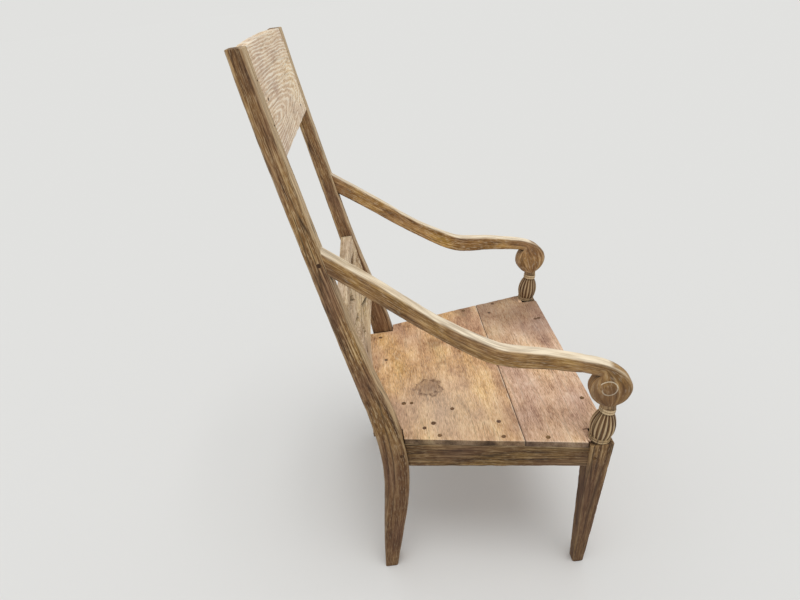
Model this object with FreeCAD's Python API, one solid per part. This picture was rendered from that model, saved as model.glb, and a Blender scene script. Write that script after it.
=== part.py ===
import FreeCAD, Part
import math
import os

# Carved plank-seat armchair in old teak, millimetres.
# +Z is up, the sitter faces -Y, and the sitter's right hand is at -X.
# The origin is on the floor, in the middle of the chair's outline.

V = FreeCAD.Vector

# Whole chair
overall_depth = 603.0
cut_overrun = 40.0
aligned_share = 0.94

# Joinery
joint_clearance = 0.15
peg_radius = 4.0
peg_clearance = 0.1
peg_depth = 30.0
tenon_thickness = 12.0
tenon_shoulder = 7.0

# Back posts, each one sabre-shaped piece from the floor to the crest
post_height = 1129.0
post_half_span = 230.5
post_width = 38.0
post_top_depth = 25.5
post_waist_z = 322.0
post_waist_depth = 54.0
post_foot_depth = 29.0
post_rake = 150.5
post_splay = 56.0
post_edge_radius = 3.0
front_edge_upper_shares = ((0.65, 0.687), (0.30, 0.315))
rear_edge_upper_shares = ((0.61, 0.610), (0.28, 0.236))
front_edge_lower_shares = ((0.59, 0.476),)
rear_edge_lower_shares = ((0.50, 0.450),)

# Seat frame and seat planks
seat_top_z = 380.0
plank_thickness = 14.0
plank_gap = 0.8
plank_overhang = 1.5
plank_rear_overhang = 15.0
plank_notch_gap = 0.3
plank_edge_radius = 2.5
front_plank_depth = 165.0
rail_height = 50.0
rail_thickness = 25.0
rail_edge_radius = 1.5
side_rail_front_inset = 8.0
side_rail_rear_inset = 8.0
side_rail_leg_tenon = 20.0
side_rail_post_tenon = 24.0
side_rail_rear_drop = 13.0
cross_rail_tenon = 22.0
front_rail_setback = 5.0
rear_rail_setback = 4.0
bearer_width = 40.0
bearer_height = 30.0
bearer_tenon = 8.0
plank_dowel_radius = 3.0
plank_dowel_length = 40.0
plank_dowel_half_spread = 150.0
seat_peg_radius = 4.5
seat_peg_depth = 40.0
seat_peg_front_inset = 93.0
seat_peg_rear_inset = 27.5
seat_peg_front_shares = (0.61,)
seat_peg_rear_shares = (0.165, 0.70)

# Front legs, each carved in one piece with the baluster under the armrest
leg_half_spacing = 280.0
leg_width = 44.0
leg_depth = 47.0
leg_corner_radius = 3.5
block_setback = 12.5
foot_width = 25.0
foot_inset = 15.0
foot_setback = 34.5
block_drop = 5.0
ring_height = 4.5
ring_radius = 21.0
ring_bulge = 2.0
vase_height = 57.0
vase_base_radius = 19.5
vase_belly_radius = 23.6
vase_belly_share = 0.5
vase_top_radius = 13.0
flute_count = 16
flute_radius = 3.2
flute_depth = 1.9
collar_height = 5.5
collar_radius = 15.5
neck_radius = 14.0
neck_flare_radius = 16.5
neck_side_inset = 1.0
neck_tenon_radius = 7.0
neck_tenon_length = 24.0

# Armrests with scroll ends
arm_width = 25.0
arm_rear_thickness = 34.0
arm_front_thickness = 27.0
arm_elbow_swell = 8.0
arm_elbow_share = 0.345
arm_elbow_reach_share = 0.26
arm_rear_inset = 1.0
arm_joint_z = 789.5
arm_edge_radius = 4.0
arm_tenon_height = 26.0
arm_tenon_length = 22.0
scroll_radius = 38.5
scroll_z = 499.5
scroll_merge_degrees = 150.0
arm_line_shares = ((0.138, 0.201), (0.266, 0.245), (0.398, 0.283), (0.532, 0.400),
                   (0.662, 0.552), (0.830, 0.780))
arm_offset_steps = 24
spiral_start_radius = 17.0
spiral_shrink = 3.4
spiral_half_turns = 3
spiral_groove_radius = 1.5
spiral_groove_depth = 1.0

# Crest board
crest_height = 164.0
crest_arch = 3.5
crest_thickness = 18.0
crest_recess = 1.0
crest_tenon_length = 20.0
crest_tenon_thickness = 9.0
crest_tenon_margin = 24.0
crest_edge_radius = 2.0
crest_peg_shares = (0.30, 0.70)

# Pierced and hollowed splat between the posts
splat_bottom_z = 490.0
splat_height = 173.0
splat_thickness = 26.0
splat_top_recess = 3.0
splat_bottom_recess = 16.0
splat_hollow = 8.0
splat_top_band = 20.0
splat_bottom_band = 36.0
splat_end_band = 14.0
splat_bar_width = 26.0
splat_stem_width = 62.0
splat_tenon_length = 20.0
splat_tenon_margin = 22.0
splat_peg_shares = (0.30, 0.70)

# Places that follow from the sizes above
post_inner_x = post_half_span - post_width
post_top_y = overall_depth / 2 - post_top_depth
post_waist_y = post_top_y - post_rake
post_foot_y = post_waist_y + post_splay
rail_top_z = seat_top_z - plank_thickness
rail_bottom_z = rail_top_z - rail_height
rail_mid_z = rail_top_z - rail_height / 2
tenon_bottom_z = rail_bottom_z + tenon_shoulder
tenon_height = rail_height - 2 * tenon_shoulder
block_top_z = seat_top_z - block_drop
crest_bottom_z = post_height - crest_height


def polygon_prism(points, sweep):
    """Solid swept from a flat polygon along a vector."""
    return Part.Face(Part.makePolygon(list(points) + [points[0]])).extrude(sweep)


def corner_box(low, high):
    """Box between two opposite corners."""
    size = high - low
    return Part.makeBox(size.x, size.y, size.z, low)


def mirrored(shape):
    """The same piece for the sitter's left side."""
    return shape.mirror(V(0, 0, 0), V(1, 0, 0))


def edges_along(shape, direction, least_length):
    """Edges whose two ends lie mostly along a direction."""
    picked = []
    for edge in shape.Edges:
        span = edge.lastVertex().Point - edge.firstVertex().Point
        aligned = abs(span.dot(direction)) > span.Length * aligned_share
        if span.Length > least_length and aligned:
            picked.append(edge)
    return picked


# Back posts

def post_edge_curve(waist_y, top_y, foot_y, upper_shares, lower_shares):
    """Smooth edge of a post from top to foot, through its waist at seat height."""
    points = [V(0, top_y, post_height)]
    for height_share, reach_share in upper_shares:
        rise = (post_height - post_waist_z) * height_share
        points.append(V(0, waist_y + (top_y - waist_y) * reach_share, post_waist_z + rise))
    points.append(V(0, waist_y, post_waist_z))
    for drop_share, reach_share in lower_shares:
        points.append(V(0, waist_y + (foot_y - waist_y) * reach_share, post_waist_z * (1 - drop_share)))
    points.append(V(0, foot_y, 0))
    curve = Part.BSplineCurve()
    curve.interpolate(points)
    return curve


post_front_curve = post_edge_curve(post_waist_y, post_top_y, post_foot_y,
                                   front_edge_upper_shares, front_edge_lower_shares)
post_rear_curve = post_edge_curve(post_waist_y + post_waist_depth, post_top_y + post_top_depth,
                                  post_foot_y + post_foot_depth,
                                  rear_edge_upper_shares, rear_edge_lower_shares)


def edge_y(curve, z):
    """Depth of a post edge at a height, by halving the curve's range."""
    low = curve.FirstParameter
    high = curve.LastParameter
    for _ in range(40):
        middle = (low + high) / 2
        if curve.value(middle).z > z:
            low = middle
        else:
            high = middle
    return curve.value(low).y


def post_prism(outer_x, width):
    """Post profile swept sideways from its outer face."""
    front = post_front_curve.toShape()
    rear = post_rear_curve.toShape()
    foot = Part.makeLine(front.lastVertex().Point, rear.lastVertex().Point)
    top = Part.makeLine(rear.firstVertex().Point, front.firstVertex().Point)
    profile = Part.Face(Part.Wire(Part.__sortEdges__([front, foot, rear, top])))
    profile.translate(V(outer_x, 0, 0))
    return profile.extrude(V(width, 0, 0))


def post_blank():
    """Post of the sitter's right side, with eased long edges and no mortises."""
    blank = post_prism(-post_half_span, post_width)
    return blank.makeFillet(post_edge_radius, edges_along(blank, V(0, 0, 1), post_height / 2))


def post_cutter():
    """Post profile swept wider than the post, to cope what butts against it."""
    return post_prism(-post_half_span - cut_overrun, post_width + 2 * cut_overrun)


# Front legs

arm_reach_y = edge_y(post_front_curve, arm_joint_z)
arm_lead = leg_half_spacing - (post_half_span - arm_rear_inset - arm_width / 2)


def scroll_axis_y():
    """Leg axis that puts the scroll's front on the front of the chair's outline."""
    axis_y = -overall_depth / 2 + scroll_radius
    for _ in range(30):
        splay = math.atan2(arm_lead, arm_reach_y - axis_y)
        axis_y = -overall_depth / 2 + scroll_radius * math.cos(splay) + arm_width / 2 * math.sin(splay)
    return axis_y


leg_y = scroll_axis_y()
arm_splay = math.atan2(arm_lead, arm_reach_y - leg_y)
arm_length = math.hypot(arm_lead, arm_reach_y - leg_y)
block_y = leg_y + block_setback
leg_front_y = block_y - leg_depth / 2
leg_rear_y = block_y + leg_depth / 2
leg_outer_x = leg_half_spacing + leg_width / 2
leg_inner_x = leg_half_spacing - leg_width / 2


def rounded_rectangle(centre, width, depth, radius):
    """Closed wire of a level rectangle with round corners."""
    x = width / 2
    y = depth / 2
    corners = ((x, y, 0), (-x, y, 90), (-x, -y, 180), (x, -y, 270))
    edges = []
    previous = None
    for corner_x, corner_y, start in corners:
        hub = centre + V(math.copysign(x - radius, corner_x), math.copysign(y - radius, corner_y), 0)
        arc = Part.makeCircle(radius, hub, V(0, 0, 1), start, start + 90)
        if previous:
            edges.append(Part.makeLine(previous, arc.firstVertex().Point))
        edges.append(arc)
        previous = arc.lastVertex().Point
    edges.append(Part.makeLine(previous, edges[0].firstVertex().Point))
    return Part.Wire(edges)


def turned(profile_edges):
    """Solid turned about the leg axis from edges given as (radius, 0, height)."""
    wire = Part.Wire(Part.__sortEdges__(profile_edges))
    return Part.Face(wire).revolve(V(0, 0, 0), V(0, 0, 1), 360)


def turned_band(base_z, height, radius, bulge):
    """Turned ring whose rim bulges outward in an arc."""
    low = V(radius - bulge, 0, base_z)
    high = V(radius - bulge, 0, base_z + height)
    rim = Part.Arc(low, V(radius, 0, base_z + height / 2), high).toShape()
    foot = V(0, 0, base_z)
    top = V(0, 0, base_z + height)
    return turned([Part.makeLine(foot, low), rim, Part.makeLine(high, top), Part.makeLine(top, foot)])


def fluted_vase(base_z):
    """Swelling vase with even flutes that follow its outline."""
    low = V(vase_base_radius, 0, base_z)
    belly = V(vase_belly_radius, 0, base_z + vase_height * vase_belly_share)
    high = V(vase_top_radius, 0, base_z + vase_height)
    arc = Part.Arc(low, belly, high)
    foot = V(0, 0, base_z)
    top = V(0, 0, base_z + vase_height)
    vase = turned([Part.makeLine(foot, low), arc.toShape(), Part.makeLine(high, top),
                   Part.makeLine(top, foot)])
    circle = arc.toShape().Curve
    groove_path_radius = circle.Radius + flute_radius - flute_depth
    groove = Part.makeTorus(groove_path_radius, flute_radius, circle.Center, V(0, 1, 0))
    outside = corner_box(V(0, -vase_belly_radius, base_z),
                         V(vase_belly_radius + flute_radius, vase_belly_radius, base_z + vase_height))
    groove = groove.common(outside)
    grooves = []
    for index in range(flute_count):
        copy = groove.copy()
        copy.rotate(V(0, 0, 0), V(0, 0, 1), 360 * index / flute_count)
        grooves.append(copy)
    return vase.cut(grooves)


def leg_shaft():
    """Square leg that tapers from its block at the seat down to the foot."""
    foot_centre = V(foot_inset, foot_setback, 0)
    foot = rounded_rectangle(foot_centre, foot_width, foot_width, leg_corner_radius)
    head = rounded_rectangle(V(0, block_setback, block_top_z), leg_width, leg_depth, leg_corner_radius)
    shaft = Part.makeLoft([foot, head], True, True)
    shaft.translate(V(-leg_half_spacing, leg_y, 0))
    return shaft


def leg_neck(base_z):
    """Flaring neck under the scroll, flat at the sides along the arm's faces."""
    height = scroll_z - scroll_radius / 2 - base_z
    flare = Part.makeCone(neck_radius, neck_flare_radius, height, V(0, 0, base_z))
    half = arm_width / 2 - neck_side_inset
    slab = corner_box(V(-half, -neck_flare_radius, base_z), V(half, neck_flare_radius, base_z + height))
    slab.rotate(V(0, 0, 0), V(0, 0, 1), -math.degrees(arm_splay))
    return flare.common(slab)


def leg_blank():
    """Leg, block and leaning baluster of the sitter's right side, before joints are cut."""
    root_z = block_top_z - ring_height
    pieces = [Part.makeCylinder(ring_radius - ring_bulge, ring_height, V(0, 0, root_z))]
    z = block_top_z
    for _ in range(2):
        pieces.append(turned_band(z, ring_height, ring_radius, ring_bulge))
        z += ring_height
    pieces.append(fluted_vase(z))
    z += vase_height
    for _ in range(2):
        pieces.append(turned_band(z, collar_height, collar_radius, ring_bulge))
        z += collar_height
    lean = math.degrees(math.atan2(block_setback, z - block_top_z))
    for piece in pieces:
        piece.rotate(V(0, 0, z), V(1, 0, 0), lean)
    pieces.append(leg_neck(z - ring_bulge))
    for piece in pieces:
        piece.translate(V(-leg_half_spacing, leg_y, 0))
    return leg_shaft().fuse(pieces).removeSplitter()


def neck_tenon(clearance):
    """Round tenon on the baluster that stands in the scroll."""
    base_z = scroll_z - scroll_radius - clearance
    length = neck_tenon_length + 2 * clearance
    return Part.makeCylinder(neck_tenon_radius + clearance, length, V(-leg_half_spacing, leg_y, base_z))


# Armrests

def arm_place(shape):
    """Turn and move a shape from the arm's own frame to the sitter's right side."""
    shape.rotate(V(0, 0, 0), V(0, 0, 1), -math.degrees(arm_splay))
    shape.translate(V(-leg_half_spacing, leg_y, 0))
    return shape


def arm_centre_line():
    """Middle line of the arm from the scroll to behind the post's front face."""
    merge = math.radians(scroll_merge_degrees)
    reach = scroll_radius - arm_front_thickness / 2
    points = [V(0, reach * math.cos(merge), scroll_z + reach * math.sin(merge))]
    for run_share, rise_share in arm_line_shares:
        points.append(V(0, arm_length * run_share, scroll_z + (arm_joint_z - scroll_z) * rise_share))
    points.append(V(0, arm_length, arm_joint_z))
    pitch = (points[-1] - points[-2]).normalize()
    points.append(points[-1] + pitch * cut_overrun)
    line = Part.BSplineCurve()
    line.interpolate(Points=points, InitialTangent=V(0, math.sin(merge), -math.cos(merge)),
                     FinalTangent=pitch)
    return line


def arm_thickness(share):
    """Thickness of the arm along its line: an even taper that swells at the elbow."""
    taper = arm_front_thickness + (arm_rear_thickness - arm_front_thickness) * share
    away = min(1, abs(share - arm_elbow_share) / arm_elbow_reach_share)
    return taper + arm_elbow_swell * (1 - away ** 2) ** 2


def offset_edge(line, side):
    """Curve beside the arm's middle line, at half of the arm's thickness."""
    points = []
    for step in range(arm_offset_steps + 1):
        share = step / arm_offset_steps
        at = line.FirstParameter + (line.LastParameter - line.FirstParameter) * share
        along = line.tangent(at)[0]
        points.append(line.value(at) + V(0, -along.z, along.y) * (side * arm_thickness(share) / 2))
    curve = Part.BSplineCurve()
    curve.interpolate(points)
    return curve.toShape()


def arm_bar():
    """Arm and scroll in the arm's own frame, with eased edges."""
    line = arm_centre_line()
    upper = offset_edge(line, 1)
    lower = offset_edge(line, -1)
    front = Part.makeLine(lower.firstVertex().Point, upper.firstVertex().Point)
    rear = Part.makeLine(upper.lastVertex().Point, lower.lastVertex().Point)
    profile = Part.Face(Part.Wire(Part.__sortEdges__([upper, rear, lower, front])))
    profile.translate(V(-arm_width / 2, 0, 0))
    bar = profile.extrude(V(arm_width, 0, 0))
    disc = Part.makeCylinder(scroll_radius, arm_width, V(-arm_width / 2, 0, scroll_z), V(1, 0, 0))
    arm = bar.fuse(disc).removeSplitter()
    rims = [edge for edge in arm.Edges
            if abs(abs(edge.CenterOfMass.x) - arm_width / 2) < joint_clearance and edge.Length > arm_width]
    return arm.makeFillet(arm_edge_radius, rims)


def spiral_groove():
    """Carved spiral of shrinking half circles on the outer face of the scroll."""
    face_x = -arm_width / 2 - spiral_groove_radius + spiral_groove_depth
    radius = spiral_start_radius
    hub_y = 0
    halves = []
    for turn in range(spiral_half_turns):
        side = 1 if turn % 2 == 0 else -1
        ring = Part.makeTorus(radius, spiral_groove_radius, V(face_x, hub_y, scroll_z), V(1, 0, 0))
        reach = radius + spiral_groove_radius
        base_z = scroll_z if side > 0 else scroll_z - reach
        half = corner_box(V(face_x - spiral_groove_radius, hub_y - reach, base_z),
                          V(face_x + spiral_groove_radius, hub_y + reach, base_z + reach))
        halves.append(ring.common(half))
        hub_y += side * -(spiral_shrink / 2)
        radius -= spiral_shrink / 2
    return halves


def arm_tenon(clearance):
    """Flat tenon of the arm in the post, in the chair's frame."""
    half_width = tenon_thickness / 2 + clearance
    half_height = arm_tenon_height / 2 + clearance
    tenon = corner_box(V(-half_width, arm_length - arm_rear_thickness / 2, arm_joint_z - half_height),
                       V(half_width, arm_length + arm_tenon_length + clearance, arm_joint_z + half_height))
    return arm_place(tenon)


# Seat frame

side_rail_front = V(-leg_outer_x + side_rail_front_inset, leg_rear_y, 0)
side_rail_rear = V(-post_half_span + side_rail_rear_inset, post_waist_y, 0)
side_rail_along = (side_rail_rear - side_rail_front).normalize()


def side_rail_bar(thickness, front_reach, rear_reach, base_z, height, clearance):
    """Bar along the side rail's middle line, with a reach past each end."""
    inward = V(side_rail_along.y, -side_rail_along.x, 0)
    middle = inward * (rail_thickness / 2)
    side = inward * (thickness / 2 + clearance)
    start = side_rail_front + middle - side_rail_along * (front_reach + clearance)
    end = side_rail_rear + middle + side_rail_along * (rear_reach + clearance)
    points = [start - side, start + side, end + side, end - side]
    lift = V(0, 0, base_z - clearance)
    return polygon_prism([point + lift for point in points], V(0, 0, height + 2 * clearance))


def side_rail_waste():
    """What is cut away under the side rail, whose lower edge falls towards the post."""
    inward = V(side_rail_along.y, -side_rail_along.x, 0)
    fall = side_rail_rear - side_rail_front - V(0, 0, side_rail_rear_drop)
    slope = fall.normalize() * cut_overrun
    front = side_rail_front + V(0, 0, rail_bottom_z) - slope - inward * rail_thickness
    rear = side_rail_rear + V(0, 0, rail_bottom_z - side_rail_rear_drop) + slope - inward * rail_thickness
    deep = V(0, 0, rail_height)
    return polygon_prism([front, rear, rear - deep, front - deep], inward * (rail_thickness * 3))


def side_rail_tenons(clearance):
    """Tenon bar that runs through the side rail into the leg and the post."""
    return side_rail_bar(tenon_thickness, side_rail_leg_tenon, side_rail_post_tenon,
                         tenon_bottom_z, tenon_height, clearance)


front_rail_y = leg_front_y + front_rail_setback
rear_rail_y = edge_y(post_rear_curve, rail_mid_z) - rear_rail_setback - rail_thickness


def cross_rail_bar(half_length, y, thickness, base_z, height, clearance):
    """Bar across the chair, centred on the thickness of a rail that starts at y."""
    middle = y + rail_thickness / 2
    half = thickness / 2 + clearance
    return corner_box(V(-half_length - clearance, middle - half, base_z - clearance),
                      V(half_length + clearance, middle + half, base_z + height + clearance))


def cross_rail_tenons(half_length, y, clearance):
    """Tenon bar of a cross rail, past both of its shoulders."""
    return cross_rail_bar(half_length + cross_rail_tenon, y, tenon_thickness,
                          tenon_bottom_z, tenon_height, clearance)


def cross_rail(half_length, y):
    """Cross rail with eased long edges and a tenon at each end."""
    bar = cross_rail_bar(half_length, y, rail_thickness, rail_bottom_z, rail_height, 0)
    bar = bar.makeFillet(rail_edge_radius, edges_along(bar, V(1, 0, 0), half_length))
    return bar.fuse(cross_rail_tenons(half_length, y, 0))


def bearer_bar(reach, margin, clearance):
    """Bearer under the middle of the seat, with a reach past each cross rail's face."""
    half = bearer_width / 2 - margin + clearance
    base_z = rail_top_z - bearer_height + margin - clearance
    return corner_box(V(-half, front_rail_y + rail_thickness - reach - clearance, base_z),
                      V(half, rear_rail_y + reach + clearance, rail_top_z - margin + clearance))


# Seat planks

plank_joint_y = leg_front_y + front_plank_depth
seat_rear_y = rear_rail_y + rail_thickness + plank_rear_overhang


def seat_half_width(y):
    """Half width of the seat at a depth, along the outer faces of the side rails."""
    front_x = leg_outer_x - side_rail_front_inset + plank_overhang
    rear_x = post_half_span - side_rail_rear_inset + plank_overhang
    share = (y - leg_rear_y) / (post_waist_y - leg_rear_y)
    return front_x + (rear_x - front_x) * share


def seat_plank(front_y, rear_y):
    """Plank across the seat, notched round the posts and the legs."""
    points = []
    for y, side in ((front_y, -1), (front_y, 1), (rear_y, 1), (rear_y, -1)):
        points.append(V(side * seat_half_width(y), y, rail_top_z))
    plank = polygon_prism(points, V(0, 0, plank_thickness))
    rim = [edge for edge in plank.Edges if edge.BoundBox.ZMin > seat_top_z - plank_edge_radius]
    plank = plank.makeFillet(plank_edge_radius, rim)
    notches = []
    post_notch = post_prism(-post_half_span - cut_overrun, post_width + cut_overrun + plank_notch_gap)
    post_notch.translate(V(0, -plank_notch_gap, 0))
    notch_top_z = seat_top_z + cut_overrun
    notch_mid_y = post_waist_y + post_waist_depth / 2
    rear_clear = corner_box(V(-post_half_span - cut_overrun, notch_mid_y, rail_bottom_z),
                            V(-post_inner_x + plank_notch_gap, seat_rear_y + cut_overrun, notch_top_z))
    leg_reach = max(leg_width / 2, ring_radius, vase_belly_radius) + plank_notch_gap
    leg_back = max(leg_depth / 2, ring_radius, vase_belly_radius) + plank_notch_gap
    leg_notch = corner_box(V(-leg_outer_x - cut_overrun, leg_front_y - cut_overrun, rail_bottom_z),
                           V(-leg_half_spacing + leg_reach, block_y + leg_back, notch_top_z))
    for notch in (post_notch, rear_clear, leg_notch):
        notches.append(notch)
        notches.append(mirrored(notch))
    return plank.cut(notches)


# Back boards

def leaning_slab(front_low_y, low_z, front_high_y, high_z, thickness, half_length):
    """Board with level top and bottom whose faces lean from one height to the other."""
    points = [V(-half_length, front_low_y, low_z), V(-half_length, front_low_y + thickness, low_z),
              V(-half_length, front_high_y + thickness, high_z), V(-half_length, front_high_y, high_z)]
    return polygon_prism(points, V(2 * half_length, 0, 0))


def crest_front_y(z):
    """Front face of the crest board, on the straight line between its two edges."""
    low = edge_y(post_front_curve, crest_bottom_z) + crest_recess
    high = post_top_y + crest_recess
    return low + (high - low) * (z - crest_bottom_z) / (post_height - crest_bottom_z)


def crest_slab(low_z, high_z, thickness, half_length, clearance):
    """Slab inside the crest board, centred on the board's thickness."""
    inset = (crest_thickness - thickness) / 2 - clearance
    return leaning_slab(crest_front_y(low_z - clearance) + inset, low_z - clearance,
                        crest_front_y(high_z + clearance) + inset, high_z + clearance,
                        thickness + 2 * clearance, half_length + clearance)


def crest_tenons(clearance):
    """Tenon slab that runs through the crest board into both posts."""
    return crest_slab(crest_bottom_z + crest_tenon_margin, post_height - crest_tenon_margin,
                      crest_tenon_thickness, post_inner_x + crest_tenon_length, clearance)


def crest_board():
    """Crest board with a low arch along its top and a tenon at each end."""
    slab = crest_slab(crest_bottom_z, post_height + crest_arch, crest_thickness, post_inner_x, 0)
    left = V(-post_inner_x, 0, post_height)
    right = V(post_inner_x, 0, post_height)
    arch = Part.Arc(left, V(0, 0, post_height + crest_arch), right).toShape()
    low_right = V(post_inner_x, 0, crest_bottom_z)
    low_left = V(-post_inner_x, 0, crest_bottom_z)
    outline = Part.Wire([arch, Part.makeLine(right, low_right), Part.makeLine(low_right, low_left),
                         Part.makeLine(low_left, left)])
    front_view = Part.Face(outline).extrude(V(0, overall_depth, 0))
    board = slab.common(front_view)
    board = board.makeFillet(crest_edge_radius, edges_along(board, V(1, 0, 0), post_inner_x))
    return board.fuse(crest_tenons(0))


splat_top_z = splat_bottom_z + splat_height


def splat_front_y(z):
    """Front face of the splat at its ends, before it is hollowed."""
    low = edge_y(post_front_curve, splat_bottom_z) + splat_bottom_recess
    high = edge_y(post_front_curve, splat_top_z) + splat_top_recess
    return low + (high - low) * (z - splat_bottom_z) / splat_height


def splat_slab(low_z, high_z, thickness, half_length, clearance):
    """Slab inside the splat, centred on the splat's thickness."""
    inset = (splat_thickness - thickness) / 2 - clearance
    return leaning_slab(splat_front_y(low_z - clearance) + inset, low_z - clearance,
                        splat_front_y(high_z + clearance) + inset, high_z + clearance,
                        thickness + 2 * clearance, half_length + clearance)


def splat_tenons(clearance):
    """Tenons of the splat in both posts, without the stretch between the posts."""
    slab = splat_slab(splat_bottom_z + splat_tenon_margin, splat_top_z - splat_tenon_margin,
                      tenon_thickness, post_inner_x + splat_tenon_length, clearance)
    between = corner_box(V(-post_inner_x, 0, 0), V(post_inner_x, overall_depth, post_height))
    return slab.cut(between)


def slanted_bar(start, end, width):
    """Bar in the front view between two points, swept through the splat."""
    along = (end - start).normalize()
    side = V(-along.z, 0, along.x) * (width / 2)
    start = start - along * cut_overrun
    end = end + along * cut_overrun
    return polygon_prism([start - side, end - side, end + side, start + side], V(0, overall_depth, 0))


def splat_piercings():
    """Openings left between the splat's frame, crossing bars and middle stem."""
    half = post_inner_x - splat_end_band
    low_z = splat_bottom_z + splat_bottom_band
    high_z = splat_top_z - splat_top_band
    field = corner_box(V(-half, 0, low_z), V(half, overall_depth, high_z))
    bars = [slanted_bar(V(-half, 0, low_z), V(half, 0, high_z), splat_bar_width),
            slanted_bar(V(-half, 0, high_z), V(half, 0, low_z), splat_bar_width),
            slanted_bar(V(0, 0, low_z), V(0, 0, high_z), splat_stem_width)]
    return field.cut(bars)


def splat():
    """Pierced splat whose front is hollowed for the sitter's back."""
    board = splat_slab(splat_bottom_z, splat_top_z, splat_thickness, post_inner_x, 0)
    radius = (post_inner_x ** 2 + splat_hollow ** 2) / (2 * splat_hollow)
    low = V(0, splat_front_y(splat_bottom_z), splat_bottom_z)
    high = V(0, splat_front_y(splat_top_z), splat_top_z)
    lean = (high - low).normalize()
    forward = V(0, lean.z, -lean.y)
    base = low - lean * cut_overrun - forward * (radius - splat_hollow)
    hollow = Part.makeCylinder(radius, splat_height + 2 * cut_overrun, base, lean)
    return board.cut([hollow, splat_piercings()]).fuse(splat_tenons(0))


# Pegs

def peg(start, direction, length, radius, clearance):
    """Round peg, or its hole when a clearance is given."""
    return Part.makeCylinder(radius + clearance, length, start, direction)


def side_rail_pegs(clearance):
    """Pegs that lock the side rail in the right leg and the right post."""
    leg_at = V(-leg_outer_x, leg_rear_y - side_rail_leg_tenon / 2, rail_mid_z)
    post_at = V(-post_half_span, post_waist_y + side_rail_post_tenon / 2, rail_mid_z)
    leg_peg = peg(leg_at, V(1, 0, 0), peg_depth, peg_radius, clearance)
    return [leg_peg.common(leg_shaft()), peg(post_at, V(1, 0, 0), peg_depth, peg_radius, clearance)]


def front_rail_pegs(clearance):
    """Peg through the right leg's front face and the front rail's tenon."""
    at = V(-leg_inner_x - cross_rail_tenon / 2, leg_front_y, rail_mid_z)
    return [peg(at, V(0, 1, 0), peg_depth, peg_radius, clearance).common(leg_shaft())]


def rear_face_peg(x, z, depth, clearance):
    """Peg driven level into a post from its rear face, cut flush with that face."""
    start = V(x, edge_y(post_rear_curve, z) - depth, z)
    long_peg = peg(start, V(0, 1, 0), depth + cut_overrun, peg_radius, clearance)
    return long_peg.common(post_prism(-post_half_span, post_width))


def rear_rail_pegs(clearance):
    """Peg through the right post's rear face and the rear rail's tenon."""
    depth = rear_rail_setback + (rail_thickness + tenon_thickness) / 2 + joint_clearance
    return [rear_face_peg(-post_inner_x - cross_rail_tenon / 2, rail_mid_z, depth, clearance)]


def board_pegs(low_z, high_z, shares, tenon_length, front_y, clearance):
    """Pegs from the right post's rear face through a back board's tenon."""
    pegs = []
    for share in shares:
        z = low_z + (high_z - low_z) * share
        depth = edge_y(post_rear_curve, z) - front_y(z)
        pegs.append(rear_face_peg(-post_inner_x - tenon_length / 2, z, depth, clearance))
    return pegs


def crest_pegs(clearance):
    """Pegs of the crest board in the right post."""
    return board_pegs(crest_bottom_z, post_height, crest_peg_shares, crest_tenon_length,
                      crest_front_y, clearance)


def splat_pegs(clearance):
    """Pegs of the splat in the right post."""
    return board_pegs(splat_bottom_z, splat_top_z, splat_peg_shares, splat_tenon_length,
                      splat_front_y, clearance)


def arm_pegs(clearance):
    """Peg through the right post's outer face and the arm's tenon."""
    at = V(-post_half_span, arm_reach_y + arm_tenon_length / 2, arm_joint_z)
    return [peg(at, V(1, 0, 0), peg_depth, peg_radius, clearance)]


def seat_peg_places():
    """Places of the seat pegs over the rails, as (x, y) on the seat."""
    depths = [leg_rear_y + (plank_joint_y - leg_rear_y) * share for share in seat_peg_front_shares]
    depths += [plank_joint_y + (post_waist_y - plank_joint_y) * share for share in seat_peg_rear_shares]
    places = []
    for y in depths:
        x = seat_half_width(y) - plank_overhang - rail_thickness / 2
        places += [(-x, y), (x, y)]
    front_x = leg_inner_x - seat_peg_front_inset
    rear_x = post_inner_x - seat_peg_rear_inset
    for x, y in ((front_x, front_rail_y), (rear_x, rear_rail_y)):
        places += [(-x, y + rail_thickness / 2), (x, y + rail_thickness / 2)]
    return places


def seat_pegs(clearance):
    """Pegs from the seat's top into the rails below."""
    pegs = []
    for x, y in seat_peg_places():
        pegs.append(peg(V(x, y, seat_top_z), V(0, 0, -1), seat_peg_depth, seat_peg_radius, clearance))
    return pegs


def plank_dowels(clearance):
    """Hidden dowels across the joint between the two seat planks."""
    dowels = []
    for x in (-plank_dowel_half_spread, 0, plank_dowel_half_spread):
        start = V(x, plank_joint_y - plank_dowel_length / 2 - clearance, rail_top_z + plank_thickness / 2)
        length = plank_dowel_length + 2 * clearance
        dowels.append(peg(start, V(0, 1, 0), length, plank_dowel_radius, clearance))
    return dowels


def both_sides(pieces):
    """Pieces of the right side and their mirror images."""
    return pieces + [mirrored(piece) for piece in pieces]


# Assembly

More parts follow.
